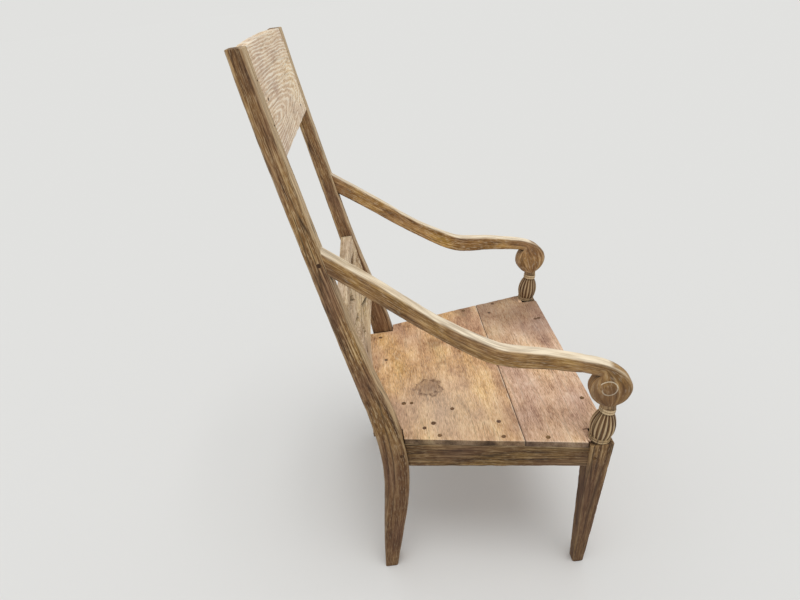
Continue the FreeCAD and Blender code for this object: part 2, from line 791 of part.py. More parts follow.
def build():
    """All pieces of the chair by node name."""
    post_solid = post_cutter()
    leg = leg_blank()
    arm = arm_place(arm_bar())

    post = post_blank().cut([arm_tenon(joint_clearance), side_rail_tenons(joint_clearance),
                             cross_rail_tenons(post_inner_x, rear_rail_y, joint_clearance),
                             crest_tenons(joint_clearance), splat_tenons(joint_clearance)])
    post = post.cut(side_rail_pegs(peg_clearance) + rear_rail_pegs(peg_clearance) + arm_pegs(peg_clearance)
                    + crest_pegs(peg_clearance) + splat_pegs(peg_clearance))

    arm_hole = neck_tenon(joint_clearance)
    grooves = [arm_place(groove) for groove in spiral_groove()]
    leg = leg.cut(arm).fuse(neck_tenon(0))
    leg = leg.cut([side_rail_tenons(joint_clearance),
                   cross_rail_tenons(leg_inner_x, front_rail_y, joint_clearance)]
                  + side_rail_pegs(peg_clearance) + front_rail_pegs(peg_clearance))
    arm = arm.cut([post_solid, arm_hole] + grooves)
    arm = max(arm.Solids, key=lambda solid: solid.Volume)
    arm = arm.fuse(arm_tenon(0)).cut(arm_pegs(peg_clearance))

    rail_depth = rail_height + 2 * side_rail_rear_drop
    rail = side_rail_bar(rail_thickness, tenon_shoulder, tenon_shoulder, rail_top_z - rail_depth, rail_depth, 0)
    rail = rail.cut(side_rail_waste())
    rail = rail.makeFillet(rail_edge_radius, edges_along(rail, side_rail_along, rail_height))
    rail = rail.cut([post_solid, leg_blank()]).fuse(side_rail_tenons(0))
    rail = rail.cut(side_rail_pegs(peg_clearance) + seat_pegs(peg_clearance))

    bearer_ends = bearer_bar(bearer_tenon, tenon_shoulder, joint_clearance)
    front_rail = cross_rail(leg_inner_x, front_rail_y)
    front_rail = front_rail.cut(both_sides([leg] + front_rail_pegs(peg_clearance))
                                + seat_pegs(peg_clearance) + [bearer_ends])
    rear_rail = cross_rail(post_inner_x, rear_rail_y)
    rear_rail = rear_rail.cut(both_sides(rear_rail_pegs(peg_clearance)) + seat_pegs(peg_clearance)
                              + [bearer_ends])
    bearer = bearer_bar(0, 0, 0).fuse(bearer_bar(bearer_tenon, tenon_shoulder, 0))

    plank_holes = seat_pegs(peg_clearance) + plank_dowels(peg_clearance)
    crest = crest_board().cut(both_sides(crest_pegs(peg_clearance)))
    back_splat = splat().cut(both_sides(splat_pegs(peg_clearance)))

    return {
        "right_back_post": post,
        "left_back_post": mirrored(post),
        "right_front_leg": leg,
        "left_front_leg": mirrored(leg),
        "right_armrest": arm,
        "left_armrest": mirrored(arm),
        "right_side_rail": rail,
        "left_side_rail": mirrored(rail),
        "front_rail": front_rail,
        "rear_rail": rear_rail,
        "seat_bearer": bearer,
        "front_seat_plank": seat_plank(leg_front_y, plank_joint_y - plank_gap / 2).cut(plank_holes),
        "rear_seat_plank": seat_plank(plank_joint_y + plank_gap / 2, seat_rear_y).cut(plank_holes),
        "crest_board": crest,
        "back_splat": back_splat,
        "plank_dowels": Part.makeCompound(plank_dowels(0)),
        "seat_pegs": Part.makeCompound(seat_pegs(0)),
        "side_rail_pegs": Part.makeCompound(both_sides(side_rail_pegs(0))),
        "front_rail_pegs": Part.makeCompound(both_sides(front_rail_pegs(0))),
        "rear_rail_pegs": Part.makeCompound(both_sides(rear_rail_pegs(0))),
        "crest_pegs": Part.makeCompound(both_sides(crest_pegs(0))),
        "splat_pegs": Part.makeCompound(both_sides(splat_pegs(0))),
        "arm_pegs": Part.makeCompound(both_sides(arm_pegs(0))),
    }


os.makedirs("parts", exist_ok=True)
for node, shape in build().items():
    print(node, len(shape.Solids), "solids, valid:", shape.isValid())
    shape.exportStep("parts/" + node + ".step")
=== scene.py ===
import math

import bpy
import numpy as np
from mathutils import Matrix, Vector
from mathutils.bvhtree import BVHTree
from numpy.linalg import norm


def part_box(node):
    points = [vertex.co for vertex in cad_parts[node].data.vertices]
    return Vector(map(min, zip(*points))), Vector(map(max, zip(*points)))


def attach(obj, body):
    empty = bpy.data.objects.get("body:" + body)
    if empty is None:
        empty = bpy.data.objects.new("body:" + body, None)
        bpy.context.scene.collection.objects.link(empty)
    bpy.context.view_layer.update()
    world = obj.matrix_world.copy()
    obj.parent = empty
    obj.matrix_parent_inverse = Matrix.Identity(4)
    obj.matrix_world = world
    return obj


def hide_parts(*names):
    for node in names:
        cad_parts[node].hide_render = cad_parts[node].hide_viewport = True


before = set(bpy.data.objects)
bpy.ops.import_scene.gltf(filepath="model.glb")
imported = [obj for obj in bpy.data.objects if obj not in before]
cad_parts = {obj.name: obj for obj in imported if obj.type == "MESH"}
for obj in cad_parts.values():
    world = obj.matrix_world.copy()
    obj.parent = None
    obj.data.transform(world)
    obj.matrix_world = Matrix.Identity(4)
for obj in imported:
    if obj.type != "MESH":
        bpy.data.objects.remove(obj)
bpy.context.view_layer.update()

bl_info = {
    "name": "Carved Teak Armchair",
    "version": (1, 0, 0),
    "blender": (4, 5, 0),
    "location": "View3D > Sidebar > Armchair",
    "description": "Dresses the armchair's frame in worn, limed old teak",
    "category": "Object",
}

# Metres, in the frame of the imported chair: +Z up, the sitter faces -Y, their right hand is at -X.
MM = 0.001
SIDES = ("right", "left")
BODY = "root"
SEAT_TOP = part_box("front_seat_plank")[1].z

# Front leg: height of its block's top, just below the seat's, the height of rings, vase and collars
# above it, and the count of flutes round the vase
BLOCK_TOP = SEAT_TOP - 5 * MM
BALUSTER_HEIGHT = 77 * MM
FLUTES = 16

# Carved spiral: its middle from the scroll's middle, towards the post and up, its first angle and its
# sweep in degrees, its first radius and the shrink over the sweep
SPIRAL_PLACE = (5 * MM, 2 * MM)
SPIRAL_START = 40
SPIRAL_SWEEP = 312
SPIRAL_RADIUS = 18.5 * MM
SPIRAL_SHRINK = 6.5 * MM

# Marks on the seat as (x, y, radius): a water ring, dark blotches, and plugs in old nail holes
WATER_RING = (-0.066, 0.060, 0.027)
BLOTCHES = ((0.106, 0.028, 0.020), (0.247, -0.066, 0.028), (0.256, -0.140, 0.022), (0.163, -0.246, 0.020),
            (-0.060, 0.062, 0.018))
PLUGS = ((-0.111, 0.121, 0.0048), (-0.113, 0.104, 0.0040), (-0.148, 0.019, 0.0042), (-0.186, 0.064, 0.0052),
         (-0.197, 0.084, 0.0042), (-0.205, -0.069, 0.0046), (0.163, -0.246, 0.0050))

# Old nail holes in the crest board as (x, z, radius)
NAIL_HOLES = ((-0.172, 1.050, 0.0032), (0.129, 0.986, 0.0032), (0.180, 1.107, 0.0030))

# Rear plank's pale patch as (x, y, half length, half width, share), and the painted shade at the front
# plank's far end as (x where it starts, length over which it grows, share)
PALE_PATCH = (-0.15, 0.04, 0.13, 0.11, 0.28)
FAR_SHADE = (0.04, 0.16, 0.58)

# Depth of a plank's sawn end, and the edge radius of rails
SAWN_END = 8 * MM
RAIL_EDGE = 1.8 * MM

# Darkening towards the bottom of posts and legs as (share, height where it starts, fall over which it
# grows), and low on each scroll
POST_LOW_DARKENING = (0.60, 0.60, 0.30)
LEG_LOW_DARKENING = (0.62, 0.38, 0.14)
SCROLL_LOW_DARKENING = {"right": 0.42, "left": 0.12}

# Shade of the wood and share of lime in its grain
LEG_FINISH = (0.8, 0.35)
RAIL_FINISH = (0.62, 0.28)
ARM_FINISH = {"right": (1.0, 0.25), "left": (1.15, 0.45)}

# Rays start this far outside the node that they measure
RAY_START = 0.1

# A wave pattern of scale 1 repeats after this length
WAVE_STEP = math.tau / 20

# Camera of the photograph: yaw from +X, pitch up and roll in degrees, lens and sensor width in mm
CAMERA_PLACE = (-1.0869, 0.1066, 1.1871)
CAMERA_YAW = -0.270
CAMERA_PITCH = -29.296
CAMERA_ROLL = -6.931
CAMERA_LENS = 25.49
CAMERA_SENSOR = 36.0

# Studio: light of the sky, the lamp's way, strength and spread in degrees, and half the floor's width
SKY_LIGHT = (0.65, 0.65, 0.65, 1)
KEY_WAY = (-0.22, -0.14, 0.97)
KEY_STRENGTH = 1.15
KEY_SPREAD = 35
FLOOR_REACH = 60.0

# Tones of each kind of wood, after the place where it is used
WOODS = {
    "frame": ("posts, legs and rails", "#452c17", "#84603b", "#b39063"),
    "arm": ("the arms", "#5a3c1c", "#8f6a3c", "#bf9860"),
    "seat": ("the rear plank", "#7e512c", "#d4a676", "#f6d5a6"),
    "front": ("the front plank", "#80573c", "#d8b08e", "#f5d8ba"),
    "crest": ("the crest board", "#b39374", "#e6caa9", "#f9e4c6"),
    "splat": ("the splat", "#80643f", "#cfb590", "#efddbb"),
    "peg": ("the pegs", "#24160a", "#4d331b", "#86643d"),
    "plug": ("the seat's pegs and plugs", "#4d331b", "#6d5036", "#b7916b"),
}
TONES = ("dark", "mid", "light")


def linear(hex_colour):
    """Linear RGB of an sRGB hex colour."""
    srgb = np.array([int(hex_colour[i:i + 2], 16) for i in (1, 3, 5)]) / 255
    return tuple(np.where(srgb <= 0.04045, srgb / 12.92, ((srgb + 0.055) / 1.055) ** 2.4))


def colour(name, description, hex_colour):
    """A colour property with an sRGB hex default."""
    return bpy.props.FloatVectorProperty(name=name, description=description, subtype="COLOR",
                                         size=3, min=0, max=1, default=linear(hex_colour))


def length(name, description, metres):
    """A length property with its default in metres."""
    return bpy.props.FloatProperty(name=name, description=description, unit="LENGTH",
                                   min=0, default=metres)


class ArmchairColours(bpy.types.PropertyGroup):
    """Colours of the old teak, its lime and the studio."""
    frame_worn: colour("Frame worn", "Rubbed edges and limed lines of posts, legs and rails", "#dcc39b")
    # Colour of rubbed wear and chalk on the arms, and of the painted highlight along their tops
    arm_wear_and_highlight: colour("Arm worn", "Wood rubbed pale along the tops of the arms", "#fff0d4")
    lime: colour("Lime", "Whitewash left in the grain", "#fbf0da")
    end_grain: colour("End grain", "Dark sawn ends of the planks", "#33200f")
    # Colour of the seat's water ring, blotches and joint dirt, of painted shade in flutes, under the arms and
    # at the front plank's far end, and of the darkening low on posts, legs and scrolls
    stain_and_shade: colour("Stain", "Water ring and blotches on the seat, dirt on legs and in flutes", "#4f3220")
    # Colour of dirt in cracks and knots, and of the painted shade in corners
    grime_and_shade: colour("Grime", "Dirt in cracks, knots and corners", "#24160a")
    studio: colour("Studio", "Pale grey of the floor and the backdrop", "#e1e1df")


# A wood's tones join the palette under its own name and the tone's
for wood, (place, *values) in WOODS.items():
    for tone, value in zip(TONES, values):
        ArmchairColours.__annotations__[f"{wood}_{tone}"] = colour(
            f"{wood} {tone}".capitalize(), f"{tone.capitalize()} tone of {place}", value)


class ArmchairWear(bpy.types.PropertyGroup):
    """How deep the old timber is worn."""
    hollow: length("Hollow", "Deepest worn hollow in a face", 0.35 * MM)
    edge_loss: length("Edge loss", "Deepest wear along an edge", 1.1 * MM)
    plank_hollow: length("Plank hollow", "Deepest worn hollow in the seat", 0.9 * MM)
    end_round: length("End round", "Rounding at the ends of a timber", 1.2 * MM)
    spiral_depth: length("Spiral depth", "Depth of the cut spiral", 0.9 * MM)
    spiral_width: length("Spiral width", "Width of the cut spiral", 2.2 * MM)


# Reading the frame

def node_points(node):
    """Corner points of a frame node as an (n, 3) array."""
    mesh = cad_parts[node].data
    points = np.empty(len(mesh.vertices) * 3)
    mesh.vertices.foreach_get("co", points)
    return points.reshape(-1, 3)


def extent(points):
    """Middle and half size of the box round some points."""
    low, high = points.min(0), points.max(0)
    return (low + high) / 2, (high - low) / 2


def node_tree(node):
    """Search tree of a frame node's faces, for rays."""
    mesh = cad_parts[node].data
    return BVHTree.FromPolygons(node_points(node).tolist(), [tuple(face.vertices) for face in mesh.polygons])


def ray_hits(tree, starts, direction):
    """First points that parallel rays meet on a node, as an (n, 3) array."""
    found = [tree.ray_cast(Vector(start), Vector(direction))[0] for start in starts]
    if None in found:
        raise RuntimeError("a ray missed the node that it measures")
    return np.array(found)


def faces_met(tree, starts, low, high):
    """Places along Y where rays from the front and from the rear first meet a node."""
    found = []
    for begin, way in ((low - RAY_START, 1), (high + RAY_START, -1)):
        starts[:, 1] = begin
        found.append(ray_hits(tree, starts, (0, way, 0))[:, 1])
    return found


def line(x, y, z):
    """Rows of points from three coordinates, each an array or one number for all rows."""
    return np.stack(np.broadcast_arrays(x, y, z), axis=-1)


def resampled(points, count):
    """Points evenly spaced by length along a chain of points."""
    steps = norm(np.diff(points, axis=0), axis=1)
    along = np.concatenate([[0], np.cumsum(steps)])
    wanted = np.linspace(0, along[-1], count)
    return np.stack([np.interp(wanted, along, points[:, axis]) for axis in range(3)], axis=1)


# Grid surfaces

def waves(u, v, wave_u, wave_v, seed):
    """Smooth field from -1 to 1: six sine waves of about the given lengths, with seeded phases."""
    draw = np.random.default_rng(seed)
    total = 0
    for turn in range(6):
        stretch = draw.uniform(0.6, 1.7, 2)
        phase = draw.uniform(0, math.tau)
        sign = 1 if turn % 2 else -1
        cycles = u / (wave_u * stretch[0]) + sign * v / (wave_v * stretch[1])
        total = total + np.sin(math.tau * cycles + phase)
    return np.clip(total / 3.2, -1, 1)


def bar_columns(flat_columns, side_columns):
    """Unit outline of a rounded bar, as columns round the section.

    A column is (base side, base up, round side, round up): its point is the base times the flat
    half sizes plus the round part times the edge radius. It runs bottom, +side, top, -side.
    """
    quarter = np.linspace(0, math.pi / 2, 5)
    rows = []
    for turn, count in enumerate((flat_columns, side_columns) * 2):
        face = np.linspace(-1, 1, count + 2)[1:-1]
        angle = (turn - 1) * math.pi / 2
        out = np.array([round(math.cos(angle)), round(math.sin(angle))])
        across = np.array([-out[1], out[0]])
        rows.append(np.concatenate([np.outer(face, across) + out, np.tile(out, (count, 1))], axis=1))
        corner = np.tile(out + across, (len(quarter), 1))
        bend = np.outer(np.cos(quarter), out) + np.outer(np.sin(quarter), across)
        rows.append(np.concatenate([corner, bend], axis=1))
    return np.concatenate(rows).T


def with_ends(centre, half_side, half_up, end_round):
    """Adds rounded ends and end rings to the rows of a bar, whose half sizes may be single vectors.

    Each end gets rings that grow from its middle, then rows on a quarter circle of the end radius.
    Returns the longer arrays and a mask that is 1 on the end rings.
    """
    half_side, half_up = (np.broadcast_to(half, centre.shape) for half in (half_side, half_up))
    grow = np.array([0.03, 0.35, 0.70])[:, None]
    bend = np.radians([15, 40, 65])[:, None]
    lost = end_round * (1 - np.sin(bend))
    body, ends = centre.copy(), []
    for end, inner, order in ((0, 1, 1), (-1, -2, -1)):
        inward = centre[inner] - centre[end]
        inward = inward / norm(inward)
        body[end] = centre[end] + inward * end_round
        bent = centre[end] + inward * end_round * (1 - np.cos(bend))
        rows = [np.concatenate([0 * grow + centre[end], bent])]
        for half in (half_side[end], half_up[end]):
            rows.append(np.concatenate([half * grow, half * (1 - lost / norm(half))]))
        ends.append([row[::order] for row in rows])
    merged = [np.concatenate(parts) for parts in zip(ends[0], (body, half_side, half_up), ends[1])]
    rings = np.repeat([1, 0], [len(grow), len(bend)])
    return *merged, np.concatenate([rings, np.zeros(len(centre)), rings[::-1]])


def bar_grid(centre, half_side, half_up, radius, columns, seed, hollow=None):
    """Grid of a worn bar: a rounded rectangle carried along a path.

    Row i, column j is centre[i] + p * side + q * up, where p and q follow the rounded outline, less
    the outward normal times the wear. Wear is a smooth hollow field plus dents along the edges.
    """
    wear = bpy.context.scene.armchair_wear
    hollow = wear.hollow if hollow is None else hollow
    centre, half_side, half_up, end = with_ends(centre, half_side, half_up, wear.end_round)
    base_side, base_up, round_side, round_up = columns
    a = norm(half_side, axis=1, keepdims=True)
    b = norm(half_up, axis=1, keepdims=True)
    r = np.minimum(radius, 0.45 * np.minimum(a, b))
    p = base_side * (a - r) + round_side * r
    q = base_up * (b - r) + round_up * r
    side = (half_side / a)[:, None]
    up = (half_up / b)[:, None]
    points = centre[:, None] + p[..., None] * side + q[..., None] * up
    normal = round_side[:, None] * side + round_up[:, None] * up
    step = norm(np.diff(centre, axis=0), axis=1)
    u = np.concatenate([[0], np.cumsum(step)])[:, None]
    middle = len(centre) // 2
    outline = np.stack([p[middle], q[middle]], axis=1)
    around = norm(np.diff(np.concatenate([outline, outline[:1]]), axis=0), axis=1)
    v = np.concatenate([[0], np.cumsum(around)])
    corner = np.abs(round_side * round_up) > 0.45
    gap = np.abs(v[:-1, None] - v[:-1][corner][None, :])
    gap = np.minimum(gap, v[-1] - gap).min(axis=1)
    edge = np.exp(-(gap / (0.9 * radius)) ** 2)[None, :] * (1 - end[:, None])
    dents = (0.5 + 0.5 * waves(u, v[:-1], 0.06, 0.25, seed + 1)) ** 2
    chips = np.clip(waves(u, v[:-1], 0.035, 0.4, seed + 2) * 2 - 0.9, 0, 1)
    lost = hollow * (0.5 + 0.5 * waves(u, v[:-1], 0.16, 0.05, seed)) * (1 - end[:, None])
    lost = lost + wear.edge_loss * edge * (0.55 * dents + 0.45 * chips)
    points = points - normal * lost[..., None]
    worn = np.clip(edge * (0.35 + 0.65 * dents), 0, 1) * (0.6 + 0.4 * normal[..., 2])
    spread = np.stack(np.broadcast_arrays(u, v[None, :]), axis=-1)
    return {"points": points, "uv": spread, "worn": worn, "end": np.broadcast_to(end[:, None], worn.shape),
            "normal": normal}


def add_object(name, data):
    """A new object in the scene."""
    item = bpy.data.objects.new(name, data)
    bpy.context.scene.collection.objects.link(item)
    return item


def add_piece(name, grids, material, replaced=None):
    """Mesh object from closed grids, with their UV map and their wear as attributes.

    Each grid is closed round its columns, and its first and last rows are filled. Faces are turned
    outwards by the sign of the grid's volume. A piece that stands for a frame node replaces it, and a
    plug, which has no node, is only added.
    """
    points, faces, uvs, fields = [], [], [], {"worn": [], "end": [], "lime": [], "stain_and_shade": []}
    offset = 0
    for grid in grids:
        rows, count = grid["points"].shape[:2]
        index = np.arange(rows * count).reshape(rows, count)
        near, far = np.meshgrid(np.arange(rows - 1), np.arange(count), indexing="ij")
        quads = [np.stack(corners, axis=-1).reshape(-1, 4)
                 for corners in ((near, near, near + 1, near + 1), (far, far + 1, far + 1, far))]
        ring = np.arange(count)[None]
        xyz = grid["points"].reshape(-1, 3)
        low, side, high = xyz[index[quads[0], quads[1] % count]].swapaxes(0, 1)[:3]
        volume = np.einsum("ij,ij->", low - xyz.mean(0), np.cross(side - low, high - low))
        order = -1 if volume < 0 else 1
        for row, column in (quads, (0 * ring, ring[:, ::-1]), (0 * ring + rows - 1, ring)):
            faces += (index[row, column % count] + offset)[:, ::order].tolist()
            uvs.append(grid["uv"][row, column][:, ::order].reshape(-1, 2))
        points.append(xyz)
        for field in fields:
            fields[field].append(np.broadcast_to(grid.get(field, 0.0), (rows, count)).reshape(-1))
        offset += rows * count
    mesh = bpy.data.meshes.new(name)
    mesh.from_pydata(np.concatenate(points).tolist(), [], faces)
    layer = mesh.uv_layers.new(name="grain")
    layer.data.foreach_set("uv", np.concatenate(uvs).astype(np.float32).reshape(-1))
    for field, parts in fields.items():
        values = np.concatenate(parts).astype(np.float32)
        mesh.attributes.new(field, "FLOAT", "POINT").data.foreach_set("value", values)
    mesh.polygons.foreach_set("use_smooth", np.ones(len(mesh.polygons), bool))
    mesh.materials.append(material)
    piece = add_object(name, mesh)
    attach(piece, BODY)
    if replaced:
        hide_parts(replaced)
    return piece


# Materials

def empty_tree(owner):
    """The node tree of a new material or world, without its first nodes."""
    owner.use_nodes = True
    owner.node_tree.nodes.clear()
    return owner.node_tree


def add_node(tree, kind, inputs=(), output=0, **settings):
    """Add one node with its settings, set or link its inputs, and return one of its outputs.

    Kind is the type after its first word. Inputs are a dictionary by name or number, or a list in
    the node's own order.
    """
    node = tree.nodes.new("ShaderNode" + kind)
    for key, value in settings.items():
        setattr(node, key, value)
    for key, value in (inputs.items() if isinstance(inputs, dict) else enumerate(inputs)):
        if isinstance(value, bpy.types.NodeSocket):
            tree.links.new(value, node.inputs[key])
        else:
            node.inputs[key].default_value = value
    return node.outputs[output] if node.outputs else None


def per_size(along_mm, across_mm):
    """Mapping scale that makes a pattern's cell this long and this wide."""
    return (1000 / along_mm, 1000 / across_mm, 1000 / across_mm)


def old_teak(name, kind, worn_kind, lime_share, rough, spread, shares, shade=1.0, cells=(38, 2.4, 48, 26),
             corner_shade_reach=14, cracks=0.3, veins=0.0, turn=None, rings=None, seed=0.0):
    """Weathered, limed teak: dry open grain, dark streaks, chalk left in the pores, pale worn edges.

    Kind names three colours of the palette, which the shade multiplies, and worn_kind names the one of
    chalk, rubbed edges and the painted highlight on arm tops. The grain runs along the U of a piece's UV
    map or, where a turn is given, along the object's X axis after that rotation. Cells are the length and
    width of fibres and of mottling in mm, and the corner reach is how far painted shade darkens out of a
    corner, by ambient occlusion, in mm. Fibres are drawn 1.4 to 3.4 mm wide, coarser than real ones, so
    that they show from a step away. Shares weigh fibre, streak and mottle in the tone, which runs from
    dark to light over twice the spread. Each table holds one kind of step: noises, masks cut from them,
    sums of masks, and layers of colour from bare wood up.
    """
    colours = bpy.context.scene.armchair_colours
    dark, mid, light = (np.array(getattr(colours, f"{kind}_{tone}")) * shade for tone in TONES)
    worn_tone = getattr(colours, worn_kind)
    material = bpy.data.materials.new(name)
    tree = empty_tree(material)
    if turn is None:
        place = add_node(tree, "UVMap", uv_map="grain")
    else:
        place = add_node(tree, "TexCoord", output="Object")
    place = add_node(tree, "Mapping", {"Vector": place, "Rotation": turn or (0, 0, 0),
                                       "Location": (seed, seed * 0.37, 0)})

    # Length and width of a cell in mm, detail, roughness and distortion
    noises = {"fibre": (*cells[:2], 4.0, 0.65, 0.0), "streak": (260, 9, 3.0, 0.5, 0.8),
              "mottle": (*cells[2:], 4.0, 0.6, 0.0), "patch": (150, 80, 2.0, 0.5, 0.0),
              "fleck": (15, 1.7, 2.0, 0.6, 0.0)}
    part = {}
    for key, (along, across, detail, coarse, twist) in noises.items():
        cell = add_node(tree, "Mapping", {"Vector": place, "Scale": per_size(along, across)})
        part[key] = add_node(tree, "TexNoise", {"Vector": cell, "Scale": 1.0, "Detail": detail,
                                                "Roughness": coarse, "Distortion": twist})
    # Drying checks follow the edges of long cells, and small knots sit in the middle of some wide ones
    for key, size, feature in (("check", (300, 15), "DISTANCE_TO_EDGE"), ("knot", (120, 90), "F1")):
        cell = add_node(tree, "Mapping", {"Vector": place, "Scale": per_size(*size)})
        part[key] = add_node(tree, "TexVoronoi", {"Vector": cell, "Scale": 1.0}, feature=feature)
    part["knot_pick"] = part["knot"].node.outputs["Color"]
    for key in ("lime", "worn", "stain_and_shade", "end"):
        part[key] = add_node(tree, "Attribute", output="Fac", attribute_name=key)
    # Ambient occlusion: through the corner mask it paints shade into corners, joints and openings
    part["open_air"] = add_node(tree, "AmbientOcclusion", {"Distance": corner_shade_reach * MM}, "AO", samples=6)
    part["tone"] = 0.0
    for key, share in zip(("fibre", "streak", "mottle"), shares):
        part["tone"] = add_node(tree, "Math", (part[key], share, part["tone"]),
                                operation="MULTIPLY_ADD")

    # Each mask reads one part between two values and gives two others
    masks = {"mid_share": ("tone", 0.5 - spread, 0.5, 0, 1), "light_share": ("tone", 0.5, 0.5 + spread, 0, 1),
             "pore": ("fleck", 0.42, 0.30, 0, 0.7), "hue": ("patch", 0.3, 0.7, 0.49, 0.51),
             "strength": ("patch", 0.3, 0.7, 0.92, 1.08), "value": ("patch", 0.3, 0.7, 0.84, 1.16),
             "chalk_fleck": ("fleck", 0.53, 0.66, 0, 1), "chalk_vein": ("fibre", 0.56, 0.68, 0, veins),
             "chalk_patch": ("patch", 0.38, 0.60, 0.25, 1), "rub_grain": ("fibre", 0.30, 0.55, 0.6, 1),
             "check_line": ("check", 0.01, 0.07, 1, 0), "check_place": ("streak", 0.47, 0.56, 0, 1),
             "knot_spot": ("knot", 0.03, 0.055, 1, 0), "knot_place": ("knot_pick", 0.55, 0.6, 0, 1),
             "end_dark": ("mottle", 0.35, 0.6, 0.95, 0.65), "corner": ("open_air", 0.15, 0.68, 0.9, 0),
             "rough": ("fibre", 0.3, 0.7, rough - 0.08, rough + 0.08)}
    sums = [("chalk", "MAXIMUM", "chalk_fleck", "chalk_vein"), ("chalk", "MULTIPLY", "chalk", "chalk_patch"),
            ("height", "MULTIPLY", "streak", 0.4), ("height", "MULTIPLY_ADD", "fibre", 0.6, "height")]
    aged = []
    if rings:
        scale = WAVE_STEP / MM / np.array(rings["gaps"])
        cell = add_node(tree, "Mapping", {"Vector": place, "Scale": tuple(scale),
                                          "Location": tuple(-scale * rings["middle"])})
        part["ring"] = add_node(tree, "TexWave",
                                {"Vector": cell, "Scale": 1.0, "Distortion": rings["bend"], "Detail": 3.0,
                                 "Detail Scale": rings["bend_scale"], "Detail Roughness": 0.62},
                                "Fac", wave_type="RINGS", rings_direction="Y")
        masks.update(ring_line=("ring", 0.60, 0.92, 0, 1), ring_break=("mottle", 0.36, 0.56, 0.25, 1),
                     ring_dark=("ring", 0.05, 0.40, 0.35, 0))
        sums += [("ring_line", "MULTIPLY", "ring_line", "ring_break"),
                 ("chalk", "MAXIMUM", "chalk", "ring_line"),
                 ("height", "MULTIPLY_ADD", "ring_line", 0.5, "height")]
        aged = [("ring_dark", dark)]
    sums += [("chalk", "MULTIPLY", "chalk", lime_share), ("chalk", "MAXIMUM", "chalk", "lime"),
             ("rub", "MULTIPLY", "worn", "rub_grain"),
             ("dirt", "MULTIPLY", "check_line", "check_place"), ("dirt", "MULTIPLY", "dirt", cracks),
             ("knot_dark", "MULTIPLY", "knot_spot", "knot_place"), ("dirt", "MAXIMUM", "dirt", "knot_dark"),
             ("dirt", "MULTIPLY", "dirt", 0.8), ("stain_and_shade", "MULTIPLY", "stain_and_shade", 0.85),
             ("end", "MULTIPLY", "end", "end_dark")]
    for key, (source, *limits) in masks.items():
        part[key] = add_node(tree, "MapRange", (part[source], *limits))
    for key, operation, *terms in sums:
        terms = [part.get(term, term) for term in terms]
        part[key] = add_node(tree, "Math", terms, operation=operation)

    # Grown wood gets its broad changes of tint before chalk, wear, dirt and stains go over it, with the
    # painted highlight on arm tops and painted shade in corners, flutes and under the arms
    grown = [("mid_share", mid), ("light_share", light), ("pore", dark)]
    aged += [("chalk", worn_tone), ("rub", worn_tone), ("dirt", colours.grime_and_shade), ("stain_and_shade", colours.stain_and_shade),
             # The corner layer is painted shade from ambient occlusion, in the grime colour
             ("end", colours.end_grain), ("corner", colours.grime_and_shade)]
    base = (*dark, 1)
    for layers in (grown, aged):
        for key, tint in layers:
            base = add_node(tree, "Mix", {0: part[key], 6: base, 7: (*tint, 1)}, 2, data_type="RGBA")
        if layers is grown:
            base = add_node(tree, "HueSaturation", {"Hue": part["hue"], "Saturation": part["strength"],
                                                    "Value": part["value"], "Color": base})
    bump = add_node(tree, "Bump", {"Height": part["height"], "Strength": 0.45, "Distance": 0.9 * MM})
    shader = add_node(tree, "BsdfPrincipled", {"Base Color": base, "Roughness": part["rough"],
                                               "Normal": bump, "Specular IOR Level": 0.3})
    add_node(tree, "OutputMaterial", {"Surface": shader})
    return material


def frame_teak(seed, shade=1.0, lime_share=0.62):
    """Brown reclaimed teak of posts, legs and rails: pale raised grain and dark checks."""
    return old_teak(f"weathered_frame_teak_{seed}", "frame", "frame_worn", lime_share, rough=0.72,
                    spread=0.10, shares=(0.42, 0.38, 0.20), shade=shade, cells=(75, 3.4, 48, 26),
                    cracks=0.95, veins=1.0, seed=seed * 3.1)


def arm_teak(seed, shade, lime_share):
    """Golden teak of the arms, rubbed smooth and pale along the top by hands; the tops also get a painted
    highlight.
    """
    return old_teak(f"handworn_arm_teak_{seed}", "arm", "arm_wear_and_highlight", lime_share, rough=0.62, spread=0.11,
                    shares=(0.4, 0.3, 0.3), shade=shade, cells=(60, 2.6, 48, 26), cracks=0.4, veins=0.7,
                    seed=seed * 5.3)


def seat_teak(rear):
    """Warm sawn teak of the seat planks: short fibres, soft blotches, grain across the chair."""
    name, kind, seed = ("rear_seat_teak", "seat", 1.7) if rear else ("front_seat_teak", "front", 4.9)
    return old_teak(name, kind, "lime", 0.30, rough=0.66, spread=0.135, shares=(0.46, 0.16, 0.38),
                    cells=(13, 1.4, 70, 40), turn=(0, 0, 0), seed=seed)


def crest_teak():
    """Flat-sawn limed teak: chalk stands in the arched growth rings, about 5 mm apart up the board."""
    rings = {"middle": (-0.1643, 0, 1.020), "gaps": (44.88, 44.88, 5.236), "bend": 10.0, "bend_scale": 0.7}
    return old_teak("limed_crest_teak", "crest", "lime", 0.85, rough=0.78, spread=0.14,
                    shares=(0.5, 0.2, 0.3), turn=(0, 0, 0), rings=rings)


def splat_teak():
    """Grey limed teak of the pierced splat: grain across the chair, and painted shade deep in its openings.
    """
    return old_teak("limed_splat_teak", "splat", "lime", 0.7, rough=0.8, spread=0.12,
                    # A wide reach of the painted corner shade darkens the openings deep inside
                    shares=(0.35, 0.4, 0.25), corner_shade_reach=45, turn=(0, 0, 0), seed=2.3)


def peg_teak():
    """Dark, dull end grain of riven teak pegs."""
    return old_teak("peg_end_grain", "peg", "peg_light", 0.2, rough=0.8, spread=0.15, shares=(0.6, 0.2, 0.2),
                    turn=(0, math.radians(90), 0), seed=6.1)


